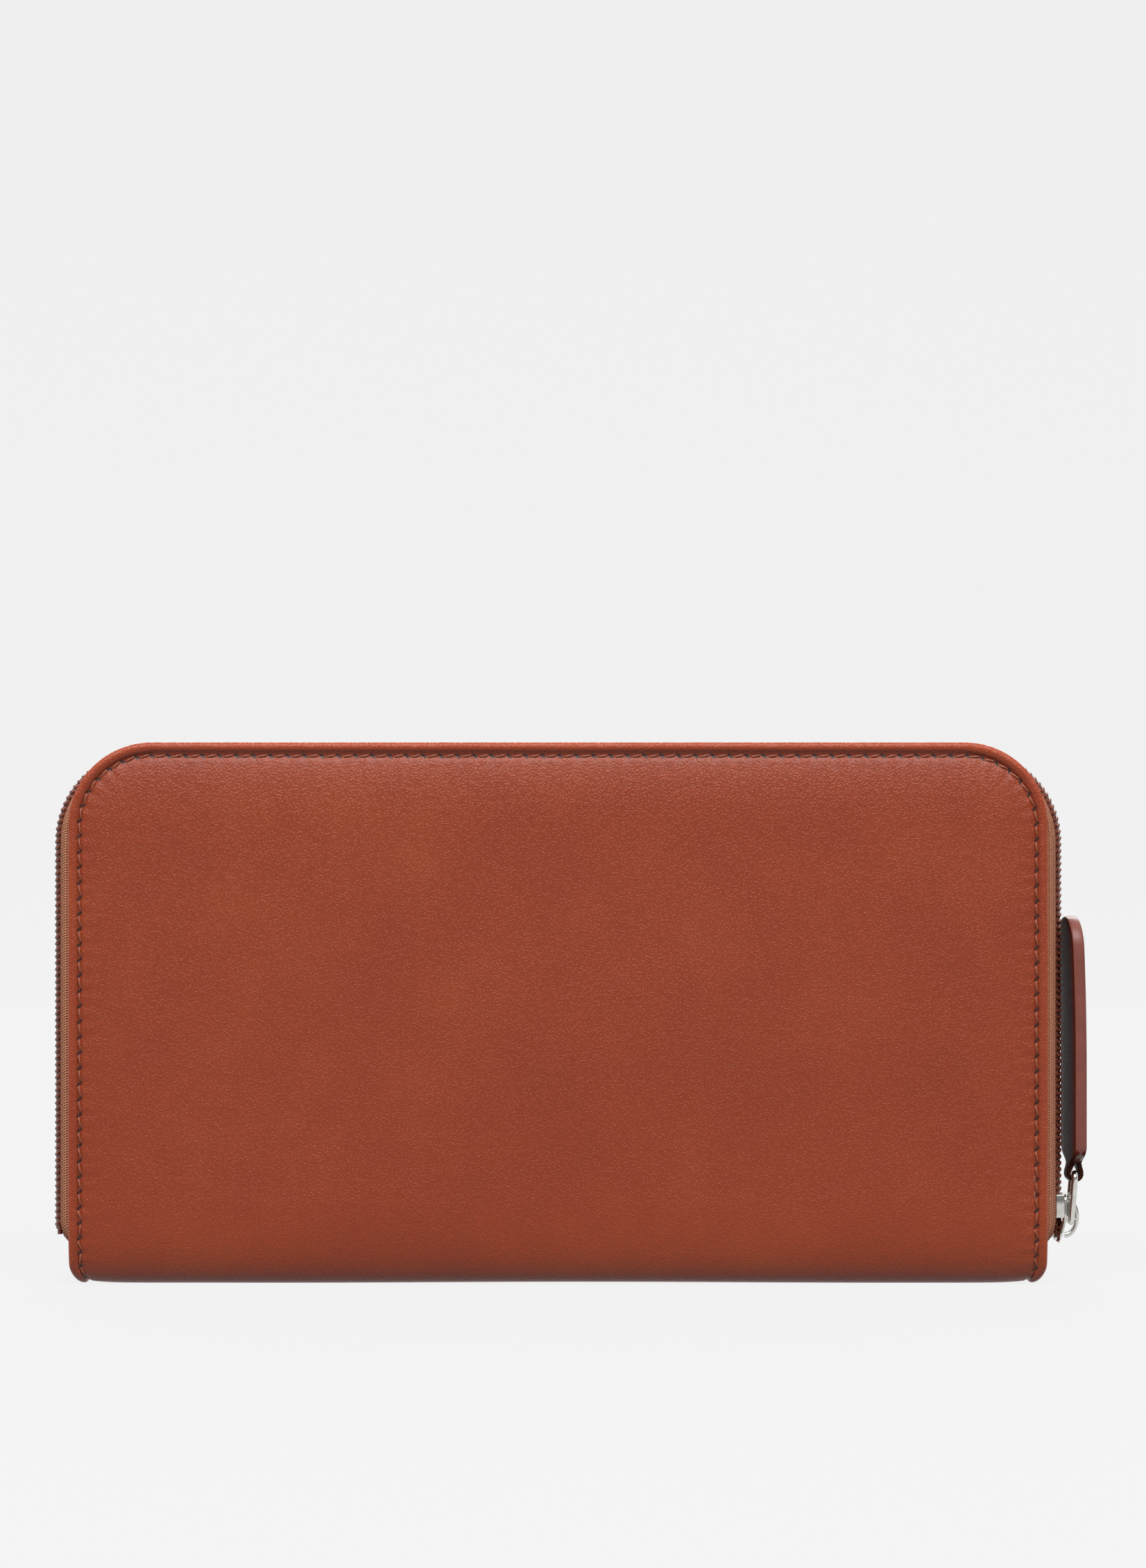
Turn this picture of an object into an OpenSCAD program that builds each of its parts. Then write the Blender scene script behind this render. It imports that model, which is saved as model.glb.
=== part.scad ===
// Zip around wallet, closed and standing on its spine, with the slider parked at the foot of the right side.
// Millimetres, +Z up, X along the width, front cover at -Y. The origin is the centre of the spine's flat base.

/* [Covers] */
// Width of a cover
cover_w = 190; // [188:0.5:194]
// Height from the spine's base to a cover's top edge
cover_h = 105.4; // [104:0.2:108]
// Thickness of the closed wallet, over both covers
wallet_t = 24.8; // [24.8:0.2:27]
// Radius of a cover's two top corners
corner_r = 16.2; // [14:0.2:18]
// Thickness of the outer leather
leather_t = 1.2; // [1:0.1:1.3]
// Height of the fold line where a cover meets the spine
fold_z = 10; // [9:0.5:11]
// Half the width of the spine's flat base
base_half = 6; // [5:0.5:7]
// Distance of the perimeter seam from a cover's edge
seam_inset = 2.2; // [2:0.1:3]

/* [Pockets] */
// Half the clear width of the coin pocket
coin_half = 3; // [2.8:0.1:3]
// Height of the coin pocket's walls
coin_h = 88; // [84:0.5:88]
// Step down from one card row's edge to the next
card_step = 10; // [8:0.5:12]

/* [Zip] */
// How far the coil stands out from a cover's side edge
zip_out = 3.8; // [3.6:0.1:4.2]
// How far the coil lies below a cover's top edge
zip_drop = 1; // [0.8:0.1:1.4]
// Height of the slider's middle above the base, when closed
slider_z = 12.3; // [12:0.1:13]

/* [Pull] */
// Length of the ring between its two end bars
ring_len = 9.4; // [9:0.1:10]
// Length of the leather tab above the ring's end bar
tab_len = 50.3; // [40:0.1:55]
// Width of the leather tab
tab_w = 12; // [10:0.5:14]
// Thickness of the leather tab, two layers
tab_t = 2.4; // [2:0.1:2.4]
// Turn of the leather tab about the vertical
tab_yaw = 8; // [6:0.5:8]

/* [Hidden] */
leather_colour = "#93452F";
lining_colour = "#7A4632";
tape_colour = "#A8705A";
coil_colour = "#6B3228";
steel_colour = "#C9CBCE";
board_colour = "#B9A98C";

// Rows of card slots on each side
card_rows = 4;

// Layers on each side, as distances from the middle plane, from the skin inwards
turn_t = 0.4;
cloth_t = 0.4;
y_skin = wallet_t / 2;
y_flesh = y_skin - leather_t;
y_turn = y_flesh - turn_t;
y_tape = y_turn - cloth_t;
y_lining = y_tape - cloth_t;
y_slip = y_lining - 0.1 - cloth_t;
y_cards = y_slip - card_rows * cloth_t;
coin_t = 0.6;
y_coin = coin_half + coin_t;

// Cover panels
fold_gap = 0.3;
panel_low = fold_z + fold_gap;
turn_w = 5;
thread_t = 0.4;
taper_x = 1.9;
taper_z = 7;
clear_z = 2;

// Zip path: coil ring radii about the corner's centre, measured outwards
coil_h = 1.9;
coil_half = 2.2;
tape_edge_y = 0.6;
zip_r = 18.4;
zip_half = cover_w / 2 + zip_out;
zip_top = cover_h - zip_drop;
coil_in_r = zip_r - coil_h;
tape_low = 7.2;
coil_low_left = 9;
coil_low_right = slider_z - 0.4;

// Card rows and pockets
card_half = 88;
card_low = 14;
card_top = 92;
slip_top = 96;
column_gap = 0.5;
coin_w = 180;
coin_low = leather_t + 0.8 + cloth_t;
coin_side = 86;
coin_floor = 8;
fold_in = 79;
fold_out = 91;

// Coin zip, on top of the coin pocket
coin_zip_z = coin_h + 2;
coin_tape_low = coin_h - 6;
coin_coil_left = -76;
coin_slider_x = 70.8;
coin_pull_len = 11;

// Slider, in its own frame: +X away from the tape, +Z along the zip, its middle at z = 0
plate_t = 0.75;
plate_x = coil_h + 0.15;
slider_up = 4.7;
slider_down = 5;
slider_half = 3.2;
bend_x = -1.35;
bend_z = -0.5;
crown_half = 1.1;
pivot_x = 3.6;
pivot_z = -0.8;
wire_r = 0.65;
ring_half = 2.6;
ring_bend = 1;
ring_lean = 4.6;
bore_r = 1;
loop_r = 1.5;
neck_half = 1.6;

// Where the main slider, its ring and its tab turn
tape_face_x = zip_half - coil_h;
pivot = [tape_face_x + pivot_x, 0, slider_z + pivot_z];
tab_pivot = pivot + ring_len * [sin(ring_lean), 0, cos(ring_lean)];

// A standing outline with two round top corners
module rounded_top(w, h, r, low) {
    translate([-w / 2, low]) square([w, h - r - low]);
    translate([-w / 2 + r, low]) square([w - 2 * r, h - low]);
    for (s = [-1, 1]) translate([s * (w / 2 - r), h - r]) circle(r = r, $fn = 96);
}

// A standing slab on the front side, between two distances from the middle plane
module slab(y_out, y_in) {
    translate([0, -y_in, 0]) rotate([90, 0, 0]) linear_extrude(y_out - y_in) children();
}

// A profile across the thickness, run along X
module along_x(x_from, x_to) {
    translate([x_from, 0, 0]) rotate([90, 0, 90]) linear_extrude(x_to - x_from) children();
}

module rear() mirror([0, 1, 0]) children();

module left() mirror([1, 0, 0]) children();

// ---- Covers ----

module seam_band(out, in) {
    difference() {
        rounded_top(cover_w - 2 * out, cover_h - out, corner_r - out, panel_low);
        rounded_top(cover_w - 2 * in, cover_h - in, corner_r - in, panel_low - 1);
    }
}

module seam_line() seam_band(seam_inset - thread_t / 2, seam_inset + thread_t / 2);

// Outer leather of a cover, with its edge turned over, and a groove for the seam
module cover_panel() color(leather_colour) difference() {
    union() {
        slab(y_skin, y_flesh) rounded_top(cover_w, cover_h, corner_r, panel_low);
        slab(y_flesh, y_turn) seam_band(0, turn_w);
    }
    slab(y_skin + 1, y_skin - thread_t) seam_line();
}

module seam_thread() color(coil_colour) slab(y_skin, y_skin - thread_t) seam_line();

// Stiffening board inside a cover
module board() color(board_colour)
    slab(y_flesh, y_tape)
        rounded_top(cover_w - 2 * turn_w, cover_h - turn_w, corner_r - turn_w, panel_low + clear_z);

module lining() color(lining_colour)
    slab(y_tape, y_lining) rounded_top(cover_w - 3.4, cover_h - 3.1, corner_r - 1.2, panel_low + 1);

// Points of one quarter of the spine's curve, from the fold line down to the base
function spine_curve(side, dy, dz) =
    [for (a = [0:9:90]) [side * (base_half + dy * cos(a)), fold_z - dz * sin(a)]];

function backwards(points) = [for (i = [len(points) - 1:-1:0]) points[i]];

// The space under the fold lines that lies inside a depth from the skin
module spine_space(depth, lid) {
    dy = y_skin - base_half - depth;
    dz = fold_z - depth;
    polygon(concat([[base_half + dy, fold_z + lid]], spine_curve(1, dy, dz),
        backwards(spine_curve(-1, dy, dz)), [[-base_half - dy, fold_z + lid]]));
}

module spine_shell(w, depth, t) {
    along_x(-w / 2, w / 2) difference() {
        spine_space(depth, 0.01);
        spine_space(depth + t, 1);
    }
}

// The leather's narrowing towards the base
module spine_taper() {
    half = cover_w / 2;
    slab(y_skin + 1, -y_skin - 1)
        polygon([[-half, fold_z], [-half, taper_z], [-half + taper_x, 0], [half - taper_x, 0],
            [half, taper_z], [half, fold_z]]);
}

module cover_spine() color(leather_colour) intersection() {
    spine_shell(cover_w, 0, leather_t);
    spine_taper();
}

module board_spine() color(board_colour)
    translate([-cover_w / 2 + turn_w, -base_half, leather_t]) cube([cover_w - 2 * turn_w, 2 * base_half, 0.8]);

module lining_spine() color(lining_colour)
    intersection() {
        spine_shell(cover_w - 2 * turn_w, leather_t + 0.8, cloth_t);
        translate([-cover_w / 2, -y_skin, 0]) cube([cover_w, 2 * y_skin, fold_z - 0.1]);
    }

// ---- Zip ----

// A path up one side, round both corners and down the other: half width, top, corner radius, foot
stations = concat([for (a = [0:9:90]) [1, a]], [for (a = [90:9:180]) [-1, a]]);
function zip_path(half, top, r, low) = concat([[half, low]],
    [for (s = stations) [s[0] * (half - r) + r * cos(s[1]), top - r + r * sin(s[1])]], [[-half, low]]);

// The tape's cross-section, as eight paths with their depths, from the seam allowance to the coil
tape_in = coil_in_r - cloth_t;
tape_rails = [
    [zip_path(cover_w / 2 - turn_w + 0.4, cover_h - turn_w + 0.4, corner_r - turn_w + 0.4, tape_low), y_turn],
    [zip_path(cover_w / 2 - 0.9, cover_h - 2.4, corner_r - 0.8, tape_low), y_turn],
    [zip_path(zip_half - coil_h, zip_top - coil_h, coil_in_r, tape_low), coil_half + 0.2],
    [zip_path(zip_half - coil_h, zip_top - coil_h, coil_in_r, tape_low), tape_edge_y],
    [zip_path(zip_half - coil_h - cloth_t, zip_top - coil_h - cloth_t, tape_in, tape_low), tape_edge_y],
    [zip_path(zip_half - coil_h - cloth_t, zip_top - coil_h - cloth_t, tape_in, tape_low), coil_half + 0.2],
    [zip_path(cover_w / 2 - 1.25, cover_h - 2.75, corner_r - 1.15, tape_low), y_tape],
    [zip_path(cover_w / 2 - turn_w + 0.4, cover_h - turn_w + 0.4, corner_r - turn_w + 0.4, tape_low), y_tape]];

module zip_tape() {
    rails = len(tape_rails);
    steps = len(tape_rails[0][0]);
    points = [for (i = [0:steps - 1]) for (rail = tape_rails) [rail[0][i][0], -rail[1], rail[0][i][1]]];
    walls = [for (i = [0:steps - 2]) for (j = [0:rails - 1])
        let (k = (j + 1) % rails)
        each [[i * rails + j, (i + 1) * rails + j, (i + 1) * rails + k],
            [i * rails + j, (i + 1) * rails + k, i * rails + k]]];
    ends = [[for (j = [0:rails - 1]) j], [for (j = [rails - 1:-1:0]) (steps - 1) * rails + j]];
    color(tape_colour) polyhedron(points, concat(walls, ends));
}

// Half of the closed coil, as radius from the corner's centre and depth
module coil_profile() {
    chamfer = 0.4;
    polygon([[coil_in_r, -coil_half], [zip_r - chamfer, -coil_half], [zip_r, chamfer - coil_half],
        [zip_r, -0.05], [coil_in_r, -0.05]]);
}

module zip_coil() {
    cx = zip_half - zip_r;
    cz = zip_top - zip_r;
    color(coil_colour) union() {
        translate([cx, 0, coil_low_right]) linear_extrude(cz - coil_low_right) coil_profile();
        left() translate([cx, 0, coil_low_left]) linear_extrude(cz - coil_low_left) coil_profile();
        for (side = [0, 1]) mirror([side, 0, 0]) translate([cx, 0, cz])
            rotate([90, 0, 0]) rotate_extrude(angle = 90, $fn = 96) mirror([0, 1]) coil_profile();
        translate([cx, 0, cz]) rotate([0, -90, 0]) linear_extrude(2 * cx) coil_profile();
    }
}

// ---- Slider and pull, in the slider's own frame ----

// Outer plate seen from the side, bent towards the tape at its wide end
module plate_side() {
    polygon([[plate_x, slider_up], [plate_x + plate_t, slider_up], [plate_x + plate_t, bend_z],
        [plate_x + plate_t + bend_x, -slider_down], [plate_x + bend_x, -slider_down], [plate_x, bend_z]]);
}

// A side view in X and Z, run across the zip
module across(y_from, y_to) {
    translate([0, y_to, 0]) rotate([90, 0, 0]) linear_extrude(y_to - y_from) children();
}

// Two plates, a post between them, and two flanges that hold the coil
module slider(inner_half) {
    inner_x = -cloth_t - 0.45;
    flange_x = 0.45;
    flange_low = 0;
    post_half = 0.3;
    color(steel_colour) union() {
        across(-slider_half, slider_half) plate_side();
        for (s = [-1, 1]) translate([flange_x, s > 0 ? coil_half + 0.25 : -slider_half, flange_low])
            cube([plate_x - flange_x + 0.1, slider_half - coil_half - 0.25, slider_up - flange_low]);
        translate([inner_x - 0.8, -inner_half, -slider_down + 0.3])
            cube([0.8, 2 * inner_half, slider_up + slider_down - 0.3]);
        translate([inner_x - 0.1, -post_half, -slider_down + 0.9])
            cube([plate_x - inner_x - 0.6, 2 * post_half, 2.6]);
    }
}

// The arch that holds the pull, standing on the outer plate
module crown() {
    arch_x = plate_x + plate_t;
    arch = [for (a = [-90:15:90]) [arch_x + 2.6 * cos(a), 4 * sin(a)]];
    hole = [for (a = [-90:15:90]) [arch_x + 1.75 * cos(a), 3.1 * sin(a)]];
    color(steel_colour) difference() {
        across(-crown_half, crown_half) difference() {
            union() {
                polygon(arch);
                translate([arch_x - 1.1, -4]) square([1.2, 0.9]);
            }
            polygon(hole);
        }
        across(-slider_half, slider_half) union() {
            plate_side();
            polygon([[0, -slider_down], [plate_x + bend_x, -slider_down], [plate_x, bend_z],
                [plate_x, slider_up], [0, slider_up]]);
        }
    }
}

// Oval wire link with its lower bar on the Y axis, rising along Z
module ring() {
    reach = ring_half - ring_bend;
    color(steel_colour) union() {
        for (z = [0, ring_len]) translate([0, reach, z]) rotate([90, 0, 0])
            cylinder(r = wire_r, h = 2 * reach, $fn = 48);
        for (s = [-1, 1]) {
            translate([0, s * ring_half, ring_bend]) cylinder(r = wire_r, h = ring_len - 2 * ring_bend, $fn = 48);
            for (end = [0, 1]) translate([0, s * reach, end ? ring_len - ring_bend : ring_bend])
                mirror([0, s > 0 ? 0 : 1, 0]) mirror([0, 0, end ? 0 : 1]) rotate([90, 0, 90])
                    rotate_extrude(angle = 90, $fn = 48) translate([ring_bend, 0]) circle(r = wire_r, $fn = 48);
        }
    }
}

// Leather tab outline in Y and Z: neck, shoulders and a round end
module tab_outline() {
    half = tab_w / 2;
    shoulder = 5.6;
    translate([-neck_half, 0]) square([2 * neck_half, shoulder]);
    polygon([[-neck_half, 2.6], [neck_half, 2.6], [half, shoulder + 1], [-half, shoulder + 1]]);
    translate([-half, shoulder + 1]) square([tab_w, tab_len - half - shoulder - 1]);
    translate([0, tab_len - half]) circle(r = half, $fn = 96);
}

module tab() color("#7F4338") difference() {
    union() {
        translate([-tab_t / 2, 0, 0]) rotate([90, 0, 90]) linear_extrude(tab_t) tab_outline();
        rotate([90, 0, 0]) cylinder(r = loop_r, h = 2 * neck_half, center = true, $fn = 64);
    }
    rotate([90, 0, 0]) cylinder(r = bore_r, h = 2 * neck_half + 1, center = true, $fn = 64);
}

// ---- Zip slider on the right side ----

module on_main_zip() translate([tape_face_x, 0, slider_z]) children();

module slider_body() on_main_zip() slider(2.8);

module slider_crown() on_main_zip() crown();

module pull_ring() translate(pivot) rotate([0, ring_lean, 0]) ring();

module pull_tab() translate(tab_pivot) rotate([0, 0, tab_yaw]) tab();

// ---- Card rows ----

// A row of two card slots, one on each side of the middle seam
module card_row(row) {
    outer = y_slip - (row - 1) * cloth_t;
    top = card_top - (row - 1) * card_step;
    color(leather_colour) slab(outer, outer - cloth_t) difference() {
        rounded_top(2 * card_half, top, 2, card_low);
        translate([-column_gap / 2, card_low - 1]) square([column_gap, top]);
    }
}

module slip_pocket() color(lining_colour)
    slab(y_lining - 0.1, y_slip) rounded_top(2 * card_half, slip_top, 8, card_low);

// Thread of the middle seam, between the two columns
module card_seam() color(coil_colour)
    slab(y_slip, y_cards) translate([-0.2, card_low])
        square([0.4, card_top - (card_rows - 1) * card_step - card_low]);

// ---- Coin pocket ----

module coin_wall() color(lining_colour) slab(y_coin, coin_half) rounded_top(coin_w, coin_h, 6, coin_low);

// Strip that closes the pocket's floor and both sides
module coin_gusset() color(lining_colour)
    slab(coin_half, -coin_half) difference() {
        translate([-coin_side, coin_floor]) square([2 * coin_side, coin_tape_low - coin_floor]);
        translate([-coin_side + 0.5, coin_floor + 0.5]) square([2 * coin_side - 1, coin_h]);
    }

module coin_zip_tape() color(tape_colour)
    along_x(-coin_side, coin_side)
        polygon([[-tape_edge_y, coin_zip_z], [-coin_half, coin_zip_z], [-coin_half, coin_tape_low],
            [cloth_t - coin_half, coin_tape_low], [cloth_t - coin_half, coin_zip_z - cloth_t],
            [-tape_edge_y, coin_zip_z - cloth_t]]);

module coin_zip_coil() color(coil_colour)
    along_x(coin_coil_left, coin_slider_x + 0.4) translate([0, coin_zip_z - coil_in_r])
        mirror([1, 0]) rotate(90) coil_profile();

module on_coin_zip() translate([coin_slider_x, 0, coin_zip_z]) rotate([0, -90, 0]) children();

module coin_slider_body() on_coin_zip() slider(2.2);

module coin_slider_crown() on_coin_zip() crown();

// Stamped pull with a round end, a window for the crown and a bar that turns under it
module coin_pull() {
    window = 5.3;
    arm = 0.8;
    half = ring_half;
    on_coin_zip() translate([pivot_x, 0, pivot_z]) color(steel_colour) union() {
        rotate([90, 0, 0]) cylinder(r = wire_r - 0.05, h = 2 * half, center = true, $fn = 48);
        translate([-0.45, 0, 0]) rotate([90, 0, 90]) linear_extrude(0.9) difference() {
            union() {
                translate([-half, 0]) square([2 * half, coin_pull_len - half]);
                translate([0, coin_pull_len - half]) circle(r = half, $fn = 64);
            }
            translate([arm - half, -1]) square([2 * half - 2 * arm, window + 1]);
        }
    }
}

// ---- Side gussets ----

// Four folds of soft leather between the coin pocket and the card rows, on the right
module side_gusset() {
    pitch = (y_cards - cloth_t - y_coin) / 3;
    color(lining_colour) translate([0, 0, card_low]) linear_extrude(coin_h - card_low) union() {
        for (i = [0:3]) translate([fold_in, -y_coin - i * pitch - cloth_t]) square([fold_out - fold_in, cloth_t]);
        for (i = [0:2]) translate([i == 1 ? fold_out - cloth_t : fold_in, -y_coin - (i + 1) * pitch - cloth_t])
            square([cloth_t, pitch + cloth_t]);
    }
}

cover_panel();  // cover_front
cover_spine();
rear() cover_panel();  // cover_rear
board();  // board_front
board_spine();
rear() board();  // board_rear
lining();  // lining_front
lining_spine();
rear() lining();  // lining_rear
seam_thread();  // seam_thread_front
rear() seam_thread();  // seam_thread_rear
zip_tape();  // zip_tape_front
rear() zip_tape();  // zip_tape_rear
zip_coil();  // zip_coil_front
rear() zip_coil();  // zip_coil_rear
slip_pocket();  // slip_pocket_front
card_row(1);  // card_row_front_1
card_row(2);  // card_row_front_2
card_row(3);  // card_row_front_3
card_row(4);  // card_row_front_4
card_seam();  // card_seam_front
rear() slip_pocket();  // slip_pocket_rear
rear() card_row(1);  // card_row_rear_1
rear() card_row(2);  // card_row_rear_2
rear() card_row(3);  // card_row_rear_3
rear() card_row(4);  // card_row_rear_4
rear() card_seam();  // card_seam_rear
coin_wall();  // coin_wall_front
rear() coin_wall();  // coin_wall_rear
coin_gusset();
coin_zip_tape();  // coin_zip_tape_front
rear() coin_zip_tape();  // coin_zip_tape_rear
coin_zip_coil();  // coin_zip_coil_front
rear() coin_zip_coil();  // coin_zip_coil_rear
coin_slider_body();
coin_slider_crown();
coin_pull();
left() side_gusset();  // gusset_front_left
side_gusset();  // gusset_front_right
rear() left() side_gusset();  // gusset_rear_left
rear() side_gusset();  // gusset_rear_right
slider_body();
slider_crown();
pull_ring();
pull_tab();
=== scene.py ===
"""Zip around wallet, closed and standing on its spine. Lengths in the tables are millimetres, meshes are metres."""
import math

import bmesh
import bpy
import numpy as np
from mathutils import Matrix, Vector


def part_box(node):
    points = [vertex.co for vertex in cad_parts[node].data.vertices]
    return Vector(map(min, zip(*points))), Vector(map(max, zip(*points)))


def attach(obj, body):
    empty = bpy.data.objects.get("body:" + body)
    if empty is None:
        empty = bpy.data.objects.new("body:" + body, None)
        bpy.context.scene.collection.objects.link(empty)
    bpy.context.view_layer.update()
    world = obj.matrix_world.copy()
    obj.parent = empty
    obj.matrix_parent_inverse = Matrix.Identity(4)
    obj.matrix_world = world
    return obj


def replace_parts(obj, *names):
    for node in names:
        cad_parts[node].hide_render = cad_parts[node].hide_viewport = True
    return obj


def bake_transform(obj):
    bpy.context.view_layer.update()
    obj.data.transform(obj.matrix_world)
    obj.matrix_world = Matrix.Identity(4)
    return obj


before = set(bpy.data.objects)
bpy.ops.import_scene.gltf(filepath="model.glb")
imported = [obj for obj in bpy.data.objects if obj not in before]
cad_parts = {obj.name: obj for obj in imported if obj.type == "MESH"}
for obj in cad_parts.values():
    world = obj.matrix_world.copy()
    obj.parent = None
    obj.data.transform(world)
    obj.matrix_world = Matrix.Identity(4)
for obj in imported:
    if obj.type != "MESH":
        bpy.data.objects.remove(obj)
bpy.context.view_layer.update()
MM = 0.001


# ---- Camera ----

def mm_box(node):
    """Lowest and highest corner of a CAD node, in millimetres."""
    low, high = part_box(node)
    return low * 1000, high * 1000


cover_low, cover_high = mm_box("cover_front")
COVER_HALF = cover_high.x
COVER_TOP = cover_high.z
SKIN = -cover_low.y

camera_data = bpy.data.cameras.new("camera")
camera_data.sensor_width = 36
camera_data.lens = 106.6
camera_data.clip_start = 0.01
camera = bpy.data.objects.new("camera", camera_data)
bpy.context.scene.collection.objects.link(camera)
camera.location = Vector((2.9, -SKIN - 900, 97.3)) * MM
camera.rotation_euler = (math.radians(90), 0, 0)
bpy.context.scene.camera = camera


# ---- Modelling ----

def add(kind, name, **settings):
    """Adds a primitive with nothing else selected, and names it."""
    bpy.ops.object.select_all(action="DESELECT")
    getattr(bpy.ops.mesh, "primitive_" + kind + "_add")(**settings)
    piece = bpy.context.object
    piece.name = piece.data.name = name
    return piece


def choose(piece):
    bpy.ops.object.select_all(action="DESELECT")
    piece.select_set(True)
    bpy.context.view_layer.objects.active = piece


def shape(piece, kind, wanted, tool, **settings):
    """Uses an edit-mode tool on the parts of a piece whose middle, in millimetres, is wanted."""
    choose(piece)
    bpy.ops.object.mode_set(mode="EDIT")
    bpy.ops.mesh.select_mode(type=kind)
    bpy.ops.mesh.select_all(action="DESELECT")
    shell = bmesh.from_edit_mesh(piece.data)
    parts = {"VERT": shell.verts, "EDGE": shell.edges, "FACE": shell.faces}[kind]
    for part in parts:
        corners = [part] if kind == "VERT" else part.verts
        middle = sum((corner.co for corner in corners), Vector()) / len(corners) * 1000
        if wanted(middle, part):
            part.select_set(True)
    bmesh.update_edit_mesh(piece.data)
    getattr(bpy.ops.mesh, tool)(**settings)
    bpy.ops.object.mode_set(mode="OBJECT")


def everywhere(middle, part):
    """Wants all of a piece."""
    return True


def settle(piece):
    """Puts the piece's place into its mesh."""
    choose(piece)
    bpy.ops.object.transform_apply(location=True, rotation=True, scale=True)
    return piece


def finish_with(piece, kind, **settings):
    """Adds a modifier and applies it."""
    choose(piece)
    modifier = piece.modifiers.new(kind.title(), kind)
    for name, value in settings.items():
        setattr(modifier, name, value)
    bpy.ops.object.modifier_apply(modifier=modifier.name)
    return piece


def outward(piece):
    """Merges doubles and turns every face outwards."""
    shape(piece, "VERT", everywhere, "remove_doubles", threshold=1e-6)
    shape(piece, "FACE", everywhere, "normals_make_consistent", inside=False)
    return piece


def smooth(piece, angle=40):
    choose(piece)
    bpy.ops.object.shade_smooth_by_angle(angle=math.radians(angle))
    return piece


def points_of(piece):
    flat = np.empty(len(piece.data.vertices) * 3)
    piece.data.vertices.foreach_get("co", flat)
    return flat.reshape(-1, 3)


def move_points(piece, points):
    piece.data.vertices.foreach_set("co", np.ascontiguousarray(points, float).ravel())
    piece.data.update()
    return piece


def give_uv(piece, uv, name="UVMap"):
    """Writes one pair per vertex to a UV map."""
    layer = piece.data.uv_layers.get(name) or piece.data.uv_layers.new(name=name)
    corners = np.empty(len(piece.data.loops), int)
    piece.data.loops.foreach_get("vertex_index", corners)
    layer.data.foreach_set("uv", np.asarray(uv, float)[corners].ravel())


def grid(name, across, along):
    """A grid primitive with one row of points for each entry of across and along, and each point's place in them."""
    piece = add("grid", name, x_subdivisions=len(across) - 1, y_subdivisions=len(along) - 1, size=1)
    points = points_of(piece)
    column = np.rint((points[:, 0] + 0.5) * (len(across) - 1)).astype(int)
    row = np.rint((points[:, 1] + 0.5) * (len(along) - 1)).astype(int)
    return piece, column, row


def spaced(start, stop, step):
    count = max(1, round(abs(stop - start) / step))
    return [start + (stop - start) * i / count for i in range(count + 1)]


def repeated(master, places, name):
    """Copies a shape to many places, each copy with its own mesh, and joins them."""
    copies = []
    for place in places:
        copy = master.copy()
        copy.data = master.data.copy()
        copy.matrix_world = place
        bpy.context.scene.collection.objects.link(copy)
        copies.append(copy)
    bpy.data.objects.remove(master)
    bpy.ops.object.select_all(action="DESELECT")
    for copy in copies:
        copy.select_set(True)
    bpy.context.view_layer.objects.active = copies[0]
    bpy.ops.object.join()
    piece = bpy.context.object
    piece.name = piece.data.name = name
    return settle(piece)


def facing(piece, way):
    """Turns an open sheet over if its faces look away from a direction."""
    if sum(face.normal.dot(Vector(way)) for face in piece.data.polygons) < 0:
        shape(piece, "FACE", everywhere, "flip_normals")


def joined(name, pieces):
    bpy.ops.object.select_all(action="DESELECT")
    for piece in pieces:
        piece.select_set(True)
    bpy.context.view_layer.objects.active = pieces[0]
    bpy.ops.object.join()
    piece = bpy.context.object
    piece.name = piece.data.name = name
    return piece


def mirrored(piece, name, axis=1):
    """The same piece for the other half."""
    copy = piece.copy()
    copy.data = piece.data.copy()
    bpy.context.scene.collection.objects.link(copy)
    copy.name = copy.data.name = name
    points = points_of(copy)
    points[:, axis] *= -1
    move_points(copy, points)
    shape(copy, "FACE", everywhere, "flip_normals")
    return copy


# ---- Materials ----

def linear(code, alpha=1.0):
    """A linear colour from an sRGB hex value."""
    channels = [int(code[i:i + 2], 16) / 255 for i in (1, 3, 5)]
    return (*[c / 12.92 if c <= 0.04045 else ((c + 0.055) / 1.055) ** 2.4 for c in channels], alpha)


def connect(material, made, inputs):
    """Gives each input, by name or number, a value, a socket, or a node's first output."""
    for key, source in dict(inputs).items():
        if isinstance(source, bpy.types.Node):
            source = source.outputs[0]
        if isinstance(source, bpy.types.NodeSocket):
            material.node_tree.links.new(source, made.inputs[key])
        else:
            made.inputs[key].default_value = source


def node(material, kind, inputs=(), **settings):
    """Adds a node with its settings, values and links. A ramp is a list of places and colours."""
    made = material.node_tree.nodes.new("ShaderNode" + kind)
    for name, value in settings.items():
        if name == "ramp":
            while len(made.color_ramp.elements) < len(value):
                made.color_ramp.elements.new(0.5)
            for element, (place, colour) in zip(made.color_ramp.elements, value):
                element.position = place
                element.color = colour
        else:
            setattr(made, name, value)
    connect(material, made, inputs)
    return made


def grey(level):
    return (level, level, level, 1)


def material(name):
    made = bpy.data.materials.new(name)
    made.use_nodes = True
    return made, made.node_tree.nodes["Principled BSDF"]


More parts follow.
